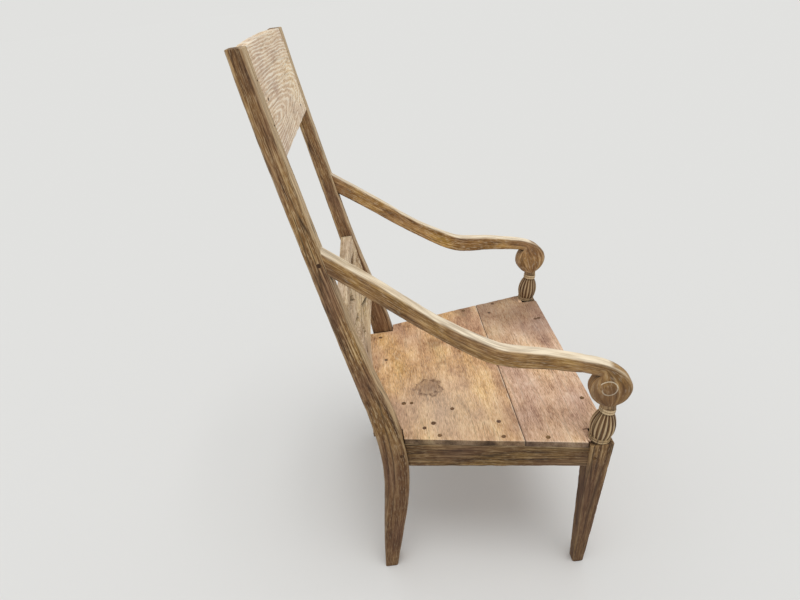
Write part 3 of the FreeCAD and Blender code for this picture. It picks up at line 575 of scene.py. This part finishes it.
def plug_teak():
    """End grain of the seat's pegs and plugs, sat smooth, a little darker than the planks."""
    return old_teak("seat_plug_end_grain", "plug", "plug_light", 0.2, rough=0.7, spread=0.15,
                    shares=(0.5, 0.2, 0.3), corner_shade_reach=3, turn=(0, math.radians(90), 0), seed=7.7)


# Pieces

def low_darkening(height, share, top, fade):
    """Darkening that grows from a height downwards to its full share."""
    return share * np.clip((top - height) / fade, 0, 1)


def back_post(side, seed):
    """Sabre post: level sections whose front and rear edges are read from the frame.

    Its front above the seat is made pale, and the post darkens towards its foot.
    """
    node = side + "_back_post"
    low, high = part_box(node)
    outer_x = low.x if side == "right" else high.x
    probe_x = outer_x - math.copysign(5 * MM, outer_x)
    z = np.linspace(low.z, high.z, 260)
    inside = np.clip(z, low.z + 0.1 * MM, high.z - 0.1 * MM)
    front, rear = faces_met(node_tree(node), line(probe_x, 0, inside), low.y, high.y)
    middle_x = (low.x + high.x) / 2
    centre = line(middle_x, (front + rear) / 2, z)
    half_side, half_up = (outer_x - middle_x, 0, 0), line(0, (rear - front) / 2, 0)
    grid = bar_grid(centre, half_side, half_up, 3 * MM, bar_columns(14, 20), seed)
    height = grid["points"][..., 2]
    u, v = grid["uv"][:, :-1, 0], grid["uv"][:, :-1, 1]
    # Front faces above the seat are made pale, and the post darkens towards its foot except on them
    facing = np.clip(-3 * grid["normal"][..., 1] - 1.6, 0, 1) * np.clip((height - SEAT_TOP) / (60 * MM), 0, 1)
    rubbed = facing * (0.62 + 0.25 * waves(u, v, 0.08, 0.02, seed + 5))
    grid["stain_and_shade"] = low_darkening(height, *POST_LOW_DARKENING) * (1 - facing)
    grid["worn"] = np.clip(np.maximum(grid["worn"], rubbed), 0, 1)
    # Painted light: the dark end grain is kept faint, so the top end looks lit from above
    grid["end"] = grid["end"] * 0.4
    return grid


def leg_level(side, height):
    """Middle and half size of the leg's corner points at a height."""
    points = node_points(side + "_front_leg")
    return extent(points[np.abs(points[:, 2] - height) < 0.01 * MM])


def leg_axis(side):
    """Middle of the upright tenon on top of the leg, as (x, y)."""
    return leg_level(side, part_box(side + "_front_leg")[1].z)[0][:2]


def leg_shaft(side, seed):
    """Tapered square leg: sections run straight from the foot's outline to the block's."""
    block_middle, block_half = leg_level(side, BLOCK_TOP)
    foot_middle, foot_half = leg_level(side, 0)
    share = np.linspace(0, 1, 130)[:, None]
    centre = foot_middle + (block_middle - foot_middle) * share
    half = foot_half + (block_half - foot_half) * share
    half_side = half * [math.copysign(1, foot_middle[0]), 0, 0]
    half_up = half * [0, 1, 0]
    grid = bar_grid(centre, half_side, half_up, 3.5 * MM, bar_columns(14, 14), seed)
    # The leg darkens towards its foot
    grid["stain_and_shade"] = low_darkening(grid["points"][..., 2], *LEG_LOW_DARKENING)
    grid["worn"] = grid["worn"] * 0.5
    return grid


def lathe_grid(hub, axis, across, forward, along, radius, worn):
    """Turned grid: row i, column j is hub + along[i] * axis + radius[i, j] at the column's angle."""
    angle = np.linspace(0, math.tau, radius.shape[1], endpoint=False)
    way = np.cos(angle)[:, None] * across + np.sin(angle)[:, None] * forward
    middle = hub + along[:, None] * axis
    rings = middle[:, None] + radius[..., None] * way
    grow = np.array([0.03, 0.5])[:, None, None]
    first, last = (middle[row] + (rings[row] - middle[row]) * grow for row in (0, -1))
    points = np.concatenate([first, rings, last[::-1]])
    u = np.concatenate([[along[0]] * 2, along, [along[-1]] * 2])[:, None]
    v = np.append(angle, math.tau) * radius.mean()
    blank = np.zeros((2, radius.shape[1]))
    return {"points": points, "uv": np.stack(np.broadcast_arrays(u, v[None, :]), axis=-1),
            "worn": np.concatenate([blank, worn, blank])}


def leg_radius(tree, hub, axis, along, way):
    """Distance from an axis to the leg's surface, by rays towards the axis."""
    reach = 80 * MM
    starts = hub + along[:, None] * axis + way * reach
    return reach - norm(ray_hits(tree, starts, tuple(-way)) - starts, axis=1)


def leg_baluster(side):
    """Leaning fluted baluster and the upright neck above it, as two turned grids.

    Radius = ridge - (ridge - valley) * (1 - (d / w)^2) inside a flute, where d is the distance from
    the flute's middle and w half its width. Ridge and valley are read from the frame along the axis.
    The neck is the smaller of its own radius and of the distance to its two flat sides.
    """
    tree = node_tree(side + "_front_leg")
    top = np.append(leg_axis(side), BLOCK_TOP + BALUSTER_HEIGHT)
    lean = math.atan2(leg_level(side, BLOCK_TOP)[0][1] - top[1], BALUSTER_HEIGHT)
    axis = np.array([0, math.sin(lean), -math.cos(lean)])
    across = np.array([1.0, 0, 0])
    forward = np.array([0, math.cos(lean), math.sin(lean)])
    along = np.linspace(0.3 * MM, BALUSTER_HEIGHT - 0.3 * MM, 170)
    turn = math.radians(90 + 180 / FLUTES)
    ridge = leg_radius(tree, top, axis, along, across * math.cos(turn) + forward * math.sin(turn))
    valley = leg_radius(tree, top, axis, along, forward)
    angle = np.linspace(0, math.tau, 24 * FLUTES // 2, endpoint=False)
    pitch = math.tau / FLUTES
    offset = np.abs((angle + pitch / 2) % pitch - pitch / 2)
    flute_half = np.minimum(3.0 * MM, 0.42 * pitch * ridge)[:, None]
    hollow = np.clip(1 - (offset * ridge[:, None] / flute_half) ** 2, 0, 1)
    deep = np.clip(ridge - valley, 0, None)[:, None]
    fluted = np.clip(deep / (1.0 * MM), 0, 1)
    crown = np.clip((ridge - np.interp(along, along[::12], ridge[::12])) / (0.5 * MM), 0, 1)[:, None]
    worn = np.clip(0.6 * fluted * (1 - hollow) ** 2 + (1 - fluted) * (0.25 + 0.6 * crown), 0, 1)
    along = np.append(along, BALUSTER_HEIGHT + 4 * MM)
    blank = np.zeros((2, len(angle)))
    radius = ridge[:, None] - deep * hollow
    body = lathe_grid(top, axis, across, forward, along, np.concatenate([radius, radius[-1:]]),
                      np.concatenate([worn, worn[-1:]]))
    # Painted shade: the flute valleys are darkened through the stain attribute
    dirt = 0.8 * hollow * fluted
    body["stain_and_shade"] = np.concatenate([blank, dirt, dirt[-1:], blank])
    scroll_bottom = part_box(side + "_armrest")[0].z
    run, out = arm_direction(side)
    up = np.array([0, 0, 1.0])
    along = np.linspace(3.5 * MM, scroll_bottom - top[2] - 0.3 * MM, 12)
    radius = leg_radius(tree, top, up, along, run)
    flat = leg_radius(tree, top, up, along, out)
    along = np.concatenate([[-2 * MM], along, [scroll_bottom - top[2] + 7 * MM]])
    radius, flat = (np.pad(part, 1, "edge")[:, None] for part in (radius, flat))
    angle = np.linspace(0, math.tau, 96, endpoint=False)
    radius = np.minimum(radius, flat / np.maximum(np.abs(np.cos(angle)), 0.05))
    neck = lathe_grid(top, up, out, run, along, radius, np.full(radius.shape, 0.15))
    return [body, neck]


def arm_direction(side):
    """Unit vector from the scroll to the post, and the unit vector out of the chair."""
    points = node_points(side + "_armrest")
    rear = points[points[:, 1] > points[:, 1].max() - 4 * MM]
    run = extent(rear)[0][:2] - leg_axis(side)
    run = np.append(run / norm(run), 0)
    out = np.array([run[1], -run[0], 0])
    if out[0] * points[:, 0].mean() < 0:
        out = -out
    return run, out


def armrest(side, seed):
    """Arm and scroll as one bar whose sections join an upper chain to a lower chain of points.

    Behind the scroll a section is upright. In front the upper chain runs over the scroll's front and
    the lower one round its back, paired by their share of length, until they meet at the bottom.
    On the outer face a groove follows radius = start - shrink * angle about the scroll's middle.
    """
    wear = bpy.context.scene.armchair_wear
    node = side + "_armrest"
    tree = node_tree(node)
    run, out = arm_direction(side)
    base = np.append(leg_axis(side), 0)
    points = node_points(node)
    along = (points - base) @ run
    spread = (points - base) @ out
    scroll = -along.min()
    bottom = points[:, 2].min()
    middle_z = bottom + scroll
    plane = base + out * (spread.max() - 6 * MM)
    # Places along the arm from the scroll's axis, where the chains part and where the front one turns
    # down; how far off rays start; and how far the bar runs on into the post
    split, nose, far, run_on = 70 * MM, -12 * MM, 1.0, 48 * MM
    rear_end = along[spread > spread.max() - 0.5 * MM].max() - 34 * MM

    def upright(s, way):
        starts = plane + np.outer(s, run) + np.array([0, 0, -way * far])
        return ray_hits(tree, starts, (0, 0, way))

    def level(z, way):
        starts = plane - run * way * far + np.outer(z, [0, 0, 1])
        return ray_hits(tree, starts, tuple(run * way))

    s = np.linspace(rear_end, split, 190)
    upper = upright(s, -1)
    lower = upright(s, 1)
    drop = 0.15 * MM
    over = upright(np.linspace(split, nose, 60), -1)
    front = level(np.linspace(over[-1, 2] - drop, bottom + drop, 160), 1)
    under = level(np.linspace(lower[-1, 2] - drop, bottom + drop, 260), -1)
    foot = plane + np.array([0, 0, bottom])
    upper_end = resampled(np.concatenate([over, front, [foot]]), 171)[1:-3]
    lower_end = resampled(np.concatenate([lower[-1:], under, [foot]]), 171)[1:-3]
    lead = (upper[0] - upper[4] + lower[0] - lower[4]) / 2
    lead = lead / norm(lead) * run_on
    upper = np.concatenate([upper[:1] + lead, upper, upper_end])
    lower = np.concatenate([lower[:1] + lead, lower, lower_end])
    middle = (spread.max() + spread.min()) / 2
    centre = (upper + lower) / 2 - plane + base + out * middle
    half_up = (upper - lower) / 2
    half_side = out * (spread.max() - spread.min()) / 2
    columns = bar_columns(12, 64)
    grid = bar_grid(centre, half_side, half_up, 4 * MM, columns, seed)
    offset = grid["points"] - base - np.array([0, 0, middle_z])
    s = offset @ run - SPIRAL_PLACE[0]
    z = offset[..., 2] - SPIRAL_PLACE[1]
    angle = np.degrees(np.arctan2(z, s)) % 360
    turn = np.clip(angle - SPIRAL_START, 0, SPIRAL_SWEEP)
    wanted = SPIRAL_RADIUS - SPIRAL_SHRINK * turn / SPIRAL_SWEEP
    past_end = np.abs(angle - SPIRAL_START - turn) * 0.3 * MM
    distance = np.hypot(np.hypot(s, z) - wanted, past_end)
    facing = (offset @ out > middle) * (columns[2] > 0.9)[None, :]
    groove = np.clip(1 - (distance / (wear.spiral_width / 2)) ** 2, 0, 1) * facing
    grid["points"] = grid["points"] - grid["normal"] * (groove * wear.spiral_depth)[..., None]
    grid["lime"] = np.clip(groove * 1.4, 0, 1) * 0.8
    u, v = grid["uv"][:, :-1, 0], grid["uv"][:, :-1, 1]
    # Faces turned up are made pale, most towards the front: wear from hands, and a painted highlight of the
    # light from above
    rise = grid["normal"][..., 2]
    upward = np.clip(rise * 4 - 2.2, 0, 1)
    forward = np.clip(u / u.max(), 0, 1) * (1 - grid["end"])
    rubbed = upward * (0.60 + 0.34 * forward + 0.2 * waves(u, v, 0.09, 0.02, seed + 5))
    grid["worn"] = np.clip(np.maximum(grid["worn"] * np.clip(0.4 + rise, 0, 1.3), rubbed), 0, 1)
    # The scroll darkens low down, and faces turned down get painted shade
    low_scroll = np.clip((offset @ run < scroll) * (16 * MM - offset[..., 2]) / (24 * MM), 0, 1)
    underside = np.clip(-2 * rise - 0.6, 0, 1)
    grid["stain_and_shade"] = SCROLL_LOW_DARKENING[side] * low_scroll * (1 - upward) + 0.30 * underside
    return grid


def seat_plank(node, seed):
    """Seat plank: sections across the chair whose half width is read from the frame at each depth.

    Edges are rubbed pale, but not in the notches round the posts, and less at the sawn ends.
    """
    wear = bpy.context.scene.armchair_wear
    low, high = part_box(node)
    y = np.linspace(low.y, high.y, int((high.y - low.y) / (1.2 * MM)))
    inside = np.clip(y, low.y + 0.3 * MM, high.y - 0.3 * MM)
    probe_z = low.z + (high.z - low.z) * 0.35
    half = -ray_hits(node_tree(node), line(low.x - RAY_START, inside, probe_z), (1, 0, 0))[:, 0]
    centre = line(0, y, (low.z + high.z) / 2)
    half_up = (0, 0, (high.z - low.z) / 2)
    columns = bar_columns(150, 4)
    grid = bar_grid(centre, line(half, 0, 0), half_up, 2.5 * MM, columns, seed, wear.plank_hollow)
    full = np.interp(grid["points"][:, :1, 1], y, np.maximum.accumulate(half[::-1])[::-1])
    outer = np.abs(grid["points"][..., 0]) > full - SAWN_END
    step = np.abs(np.gradient(np.abs(grid["points"]).max(axis=1)[:, 0]))
    notched = np.interp(grid["points"][:, :1, 1], y, half) < full - SAWN_END
    grid["worn"] = grid["worn"] * (step < 1 * MM)[:, None] * (1 - notched) * (1 - 0.55 * outer)
    grid["end"] = (np.abs(columns[2]) > 0.45) * outer * 1.0
    mark_seat(grid, node.startswith("rear"), low, high, seed)
    return grid


def mark_seat(grid, rear, low, high, seed):
    """Adds the marks of long use to a plank, as smooth fields of x and y.

    The water ring is exp(-((d - r) / w)^2), where d is the distance from its middle plus a ragged
    field, and a blotch is exp(-(d / r)^2). The rear plank is rubbed pale at the joint and in one
    patch; the front plank is dirty along the joint and gets painted shade towards its far end.
    """
    x, y, z = np.moveaxis(grid["points"], -1, 0)
    joint_y = low.y if rear else high.y
    joint = np.exp(-((y - joint_y) / (2.5 * MM)) ** 2) * (z > (low.z + high.z) / 2)
    ragged = 6 * MM * waves(x, y, 0.03, 0.03, seed + 7)
    ring_x, ring_y, ring_radius = WATER_RING
    reach = np.hypot(x - ring_x, y - ring_y) + ragged + 3 * MM * waves(x, y, 0.011, 0.011, seed + 6)
    stain_and_shade = np.exp(-((reach - ring_radius) / (4 * MM)) ** 2)
    stain_and_shade = stain_and_shade * (0.75 + 0.3 * waves(x, y, 0.02, 0.02, seed + 8))
    stain_and_shade = np.maximum(stain_and_shade, 0.30 * np.clip((ring_radius - reach) / (6 * MM), 0, 1))
    for blotch_x, blotch_y, radius in BLOTCHES:
        reach = np.hypot((x - blotch_x) * 0.7, y - blotch_y) + ragged
        stain_and_shade = np.maximum(stain_and_shade, 0.55 * np.exp(-np.clip(reach / radius, 0, None) ** 2))
    if rear:
        patch_x, patch_y, half_x, half_y, share = PALE_PATCH
        pale = share * np.exp(-((x - patch_x) / half_x) ** 2 - ((y - patch_y) / half_y) ** 2)
        pale = pale * (z > low.z + 2 * MM)
        rubbed = joint * (0.35 + 0.35 * waves(x, y, 0.05, 0.05, seed + 9))
        grid["worn"] = np.maximum(grid["worn"], np.maximum(rubbed, pale))
    else:
        # Painted shade that grows towards the front plank's far end
        start_x, fade, share = FAR_SHADE
        far_end = np.clip((x - start_x) / fade, 0, 1) * (share + 0.10 * waves(x, y, 0.17, 0.07, seed + 5))
        stain_and_shade = np.maximum(stain_and_shade, np.maximum(0.6 * joint, far_end))
    grid["stain_and_shade"] = np.clip(stain_and_shade, 0, 1)


def plank_cheek(side):
    """Strip of the front plank that reaches over the leg's block to the back of the baluster."""
    middle, half = leg_level(side, BLOCK_TOP)
    high = SEAT_TOP - bpy.context.scene.armchair_wear.plank_hollow
    low = BLOCK_TOP - 2 * MM
    x = middle[0] + half[0] * (np.linspace(-0.72, 0.72, 40) - math.copysign(0.34, middle[0]))
    centre = line(x, middle[1] + half[1] - 4 * MM, (high + low) / 2)
    half_side, half_up = (0, 5 * MM, 0), (0, 0, (high - low) / 2)
    grid = bar_grid(centre, half_side, half_up, 1 * MM, bar_columns(8, 4), 47, 0.0)
    grid["worn"], grid["end"] = 0.0, 0.0
    return grid


def plug_grid(centre, axis, radius, rise):
    """Low dome: radius * sin(a) about the axis and rise * cos(a) along it, on a short stem."""
    axis = np.array(axis)
    across = np.array([1.0, 0, 0])
    forward = np.cross(axis, across)
    bend = np.linspace(0, math.pi / 2, 7)[1:]
    along = np.concatenate([rise * np.cos(bend), [-4 * MM]])
    spread = np.concatenate([radius * np.sin(bend), [radius]])
    rim = np.tile(spread[:, None], (1, 20))
    return lathe_grid(np.array(centre), axis, across, forward, along, rim, np.zeros(rim.shape))


def shoulders(node):
    """Corner points of a rail's top face, which its tenons don't reach."""
    points = node_points(node)
    return points[points[:, 2] > points[:, 2].max() - 2 * MM]


def side_rail(side, seed):
    """Side rail from the leg to the post; its lower edge is read from the frame by rays."""
    node = side + "_side_rail"
    top_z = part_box(node)[1].z
    top = shoulders(node)
    front = top[top[:, 1] < top[:, 1].min() + 12 * MM]
    rear = top[top[:, 1] > top[:, 1].max() - 12 * MM]
    start, end = extent(front)[0], extent(rear)[0]
    way = (end - start) * [1, 1, 0]
    run = norm(way)
    way = way / run
    out = np.array([way[1], -way[0], 0]) * math.copysign(1, start[0]) * math.copysign(1, way[1])
    thickness = np.ptp((top - start) @ out)
    along = np.linspace(-4 * MM, run + 4 * MM, 150)
    centre = start + along[:, None] * way
    probe = start + np.clip(along, 20 * MM, run - 20 * MM)[:, None] * way - [0, 0, 0.5]
    bottom = ray_hits(node_tree(node), probe, (0, 0, 1))[:, 2]
    slope = (bottom[100] - bottom[40]) / (along[100] - along[40])
    bottom = bottom[75] + slope * (along - along[75])
    centre[:, 2] = (top_z + bottom) / 2
    half_up = line(0, 0, (top_z - bottom) / 2)
    return bar_grid(centre, out * thickness / 2, half_up, RAIL_EDGE, bar_columns(8, 18), seed)


def cross_bar(node, axis, seed):
    """Straight rail or bearer along X or Y, between the shoulders of its tenons."""
    low, high = (np.array(corner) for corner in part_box(node))
    ends = shoulders(node)[:, axis]
    rows = 140
    centre = np.tile((low + high) / 2, (rows, 1))
    centre[:, axis] = np.linspace(ends.min(), ends.max(), rows)
    across, up = (np.eye(3)[way] * (high - low) / 2 for way in (1 - axis, 2))
    return bar_grid(centre, across, up, RAIL_EDGE, bar_columns(8, 14), seed)


def crest_board(seed):
    """Crest board: leaning sections whose top follows the arch read from the frame."""
    node = "crest_board"
    low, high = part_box(node)
    tree = node_tree(node)
    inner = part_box("left_back_post")[0].x
    x = np.linspace(-inner, inner, 150)
    probe = np.linspace(low.z + 8 * MM, high.z - 12 * MM, 2)
    front, rear = faces_met(tree, line(0, 0, probe), low.y, high.y)
    lean = (front[1] - front[0]) / (probe[1] - probe[0])
    thick = (rear - front).mean()
    low_y = front[0] + thick / 2 + (low.z - probe[0]) * lean
    top_y = front[0] + thick / 2 + (high.z - 2 * MM - probe[0]) * lean
    inside = np.clip(x, -inner + 0.5 * MM, inner - 0.5 * MM)
    top = ray_hits(tree, line(inside, top_y, high.z + RAY_START), (0, 0, -1))[:, 2]
    bottom = line(x, low_y, low.z)
    upper = line(x, low_y + (top - low.z) * lean, top)
    centre, half_up = (bottom + upper) / 2, (upper - bottom) / 2
    return bar_grid(centre, (0, thick / 2, 0), half_up, 2 * MM, bar_columns(6, 40), seed)


def dressed(node, material):
    """Give a frame node's own mesh a finished material."""
    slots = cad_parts[node].data.materials
    for index in range(len(slots)):
        slots[index] = material


# Operators

class ARMCHAIR_OT_posts(bpy.types.Operator):
    """Build both sabre-shaped back posts"""
    bl_idname = "armchair.posts"
    bl_label = "Back Posts"

    def execute(self, context):
        for index, side in enumerate(SIDES):
            grid = back_post(side, 11 + index)
            material = frame_teak(1 + index)
            add_piece(side + "_post_timber", [grid], material, side + "_back_post")
        return {"FINISHED"}


class ARMCHAIR_OT_legs(bpy.types.Operator):
    """Build both front legs with their fluted balusters"""
    bl_idname = "armchair.legs"
    bl_label = "Front Legs"

    def execute(self, context):
        for index, side in enumerate(SIDES):
            grids = [leg_shaft(side, 21 + index), *leg_baluster(side)]
            material = frame_teak(3 + index, *LEG_FINISH)
            add_piece(side + "_leg_timber", grids, material, side + "_front_leg")
        return {"FINISHED"}


class ARMCHAIR_OT_arms(bpy.types.Operator):
    """Build both armrests with their scrolls"""
    bl_idname = "armchair.arms"
    bl_label = "Armrests"

    def execute(self, context):
        for index, side in enumerate(SIDES):
            grid = armrest(side, 31 + index)
            material = arm_teak(1 + index, *ARM_FINISH[side])
            add_piece(side + "_arm_timber", [grid], material, side + "_armrest")
        return {"FINISHED"}


class ARMCHAIR_OT_seat(bpy.types.Operator):
    """Build both seat planks"""
    bl_idname = "armchair.seat"
    bl_label = "Seat Planks"

    def execute(self, context):
        for index, place in enumerate(("rear", "front")):
            node = place + "_seat_plank"
            grids = [seat_plank(node, 41 + index)]
            if place == "front":
                grids += [plank_cheek(side) for side in SIDES]
            add_piece(place + "_plank_timber", grids, seat_teak(place == "rear"), node)
        return {"FINISHED"}


class ARMCHAIR_OT_rails(bpy.types.Operator):
    """Build the rails and the bearer under the seat"""
    bl_idname = "armchair.rails"
    bl_label = "Seat Rails"

    def execute(self, context):
        material = frame_teak(6, *RAIL_FINISH)
        for index, side in enumerate(SIDES):
            grid = side_rail(side, 51 + index)
            add_piece(side + "_rail_timber", [grid], material, side + "_side_rail")
        for index, (node, axis) in enumerate((("front_rail", 0), ("rear_rail", 0), ("seat_bearer", 1))):
            grid = cross_bar(node, axis, 55 + index)
            add_piece(node + "_timber", [grid], material, node)
        return {"FINISHED"}


class ARMCHAIR_OT_back(bpy.types.Operator):
    """Build the crest board and finish the pierced splat"""
    bl_idname = "armchair.back"
    bl_label = "Crest and Splat"

    def execute(self, context):
        grid = crest_board(61)
        add_piece("crest_timber", [grid], crest_teak(), "crest_board")
        dressed("back_splat", splat_teak())
        return {"FINISHED"}


class ARMCHAIR_OT_pegs(bpy.types.Operator):
    """Finish the pegs and dowels, and plug the old nail holes"""
    bl_idname = "armchair.pegs"
    bl_label = "Pegs"

    def execute(self, context):
        material = peg_teak()
        for node in sorted(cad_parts):
            if node.endswith(("_pegs", "_dowels")):
                dressed(node, material)
        worn_plug = plug_teak()
        dressed("seat_pegs", worn_plug)
        seat_z = SEAT_TOP - 0.2 * MM
        grids = [plug_grid((x, y, seat_z), (0, 0, 1), radius, 0.5 * MM) for x, y, radius in PLUGS]
        add_piece("seat_plugs", grids, worn_plug)
        tree = node_tree("crest_board")
        front_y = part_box("crest_board")[0].y - RAY_START
        grids = []
        for x, z, radius in NAIL_HOLES:
            centre = ray_hits(tree, [(x, front_y, z)], (0, 1, 0))[0]
            grids.append(plug_grid(centre, (0, -1, 0), radius, 0.3 * MM))
        add_piece("crest_plugs", grids, material)
        return {"FINISHED"}


class ARMCHAIR_OT_stage(bpy.types.Operator):
    """Set the floor, the light and the photograph's camera"""
    bl_idname = "armchair.stage"
    bl_label = "Stage"

    def execute(self, context):
        scene = context.scene
        scene.view_settings.view_transform = "Standard"
        studio = scene.armchair_colours.studio
        mesh = bpy.data.meshes.new("studio_floor")
        corners = np.array([(-1, -1, 0), (1, -1, 0), (1, 1, 0), (-1, 1, 0)]) * FLOOR_REACH
        mesh.from_pydata(corners.tolist(), [], [(0, 1, 2, 3)])
        material = bpy.data.materials.new("studio_paper")
        tree = empty_tree(material)
        shader = add_node(tree, "BsdfPrincipled", {"Base Color": (*studio, 1), "Roughness": 0.9,
                                                   "Specular IOR Level": 0.0})
        add_node(tree, "OutputMaterial", {"Surface": shader})
        mesh.materials.append(material)
        floor = add_object("studio_floor", mesh)

        world = bpy.data.worlds.new("studio_light")
        tree = empty_tree(world)
        rays = add_node(tree, "LightPath").node.outputs
        seen = add_node(tree, "Math", (rays["Is Camera Ray"], rays["Is Glossy Ray"]), operation="MAXIMUM")
        tone = add_node(tree, "Mix", {0: seen, 6: SKY_LIGHT, 7: (*studio, 1)}, 2, data_type="RGBA")
        glow = add_node(tree, "Background", {"Color": tone, "Strength": 1.0})
        add_node(tree, "OutputWorld", {"Surface": glow})
        scene.world = world

        lamp = bpy.data.lights.new("soft_key", "SUN")
        lamp.energy = KEY_STRENGTH
        lamp.angle = math.radians(KEY_SPREAD)
        key = add_object("soft_key", lamp)
        key.rotation_euler = Vector(KEY_WAY).to_track_quat("Z", "Y").to_euler()

        view = bpy.data.cameras.new("photo_view")
        view.lens = CAMERA_LENS
        view.sensor_width = CAMERA_SENSOR
        camera = add_object("photo_view", view)
        pose = Matrix.Translation(CAMERA_PLACE)
        for axis, degrees in (("Z", CAMERA_YAW - 90), ("X", CAMERA_PITCH + 90), ("Z", CAMERA_ROLL)):
            pose = pose @ Matrix.Rotation(math.radians(degrees), 4, axis)
        camera.matrix_world = pose
        scene.camera = camera
        return {"FINISHED"}


class ARMCHAIR_PT_panel(bpy.types.Panel):
    """Lists the armchair's operators"""
    bl_idname = "ARMCHAIR_PT_panel"
    bl_label = "Carved Teak Armchair"
    bl_space_type = "VIEW_3D"
    bl_region_type = "UI"
    bl_category = "Armchair"

    def draw(self, context):
        for operator in OPERATORS:
            self.layout.operator(operator.bl_idname)


OPERATORS = (ARMCHAIR_OT_posts, ARMCHAIR_OT_legs, ARMCHAIR_OT_arms, ARMCHAIR_OT_seat, ARMCHAIR_OT_rails,
             ARMCHAIR_OT_back, ARMCHAIR_OT_pegs, ARMCHAIR_OT_stage)
GROUPS = (ArmchairColours, ArmchairWear)


def register():
    """Add the classes and their settings to the session."""
    for item in GROUPS + OPERATORS + (ARMCHAIR_PT_panel,):
        bpy.utils.register_class(item)
    bpy.types.Scene.armchair_colours = bpy.props.PointerProperty(type=ArmchairColours)
    bpy.types.Scene.armchair_wear = bpy.props.PointerProperty(type=ArmchairWear)


def unregister():
    """Take the settings and the classes away again."""
    del bpy.types.Scene.armchair_wear
    del bpy.types.Scene.armchair_colours
    for item in reversed(GROUPS + OPERATORS + (ARMCHAIR_PT_panel,)):
        bpy.utils.unregister_class(item)


def main():
    """Build the chair and its stage."""
    register()
    bpy.ops.armchair.posts()
    bpy.ops.armchair.legs()
    bpy.ops.armchair.arms()
    bpy.ops.armchair.seat()
    bpy.ops.armchair.rails()
    bpy.ops.armchair.back()
    bpy.ops.armchair.pegs()
    bpy.ops.armchair.stage()


if __name__ == "__main__":
    main()
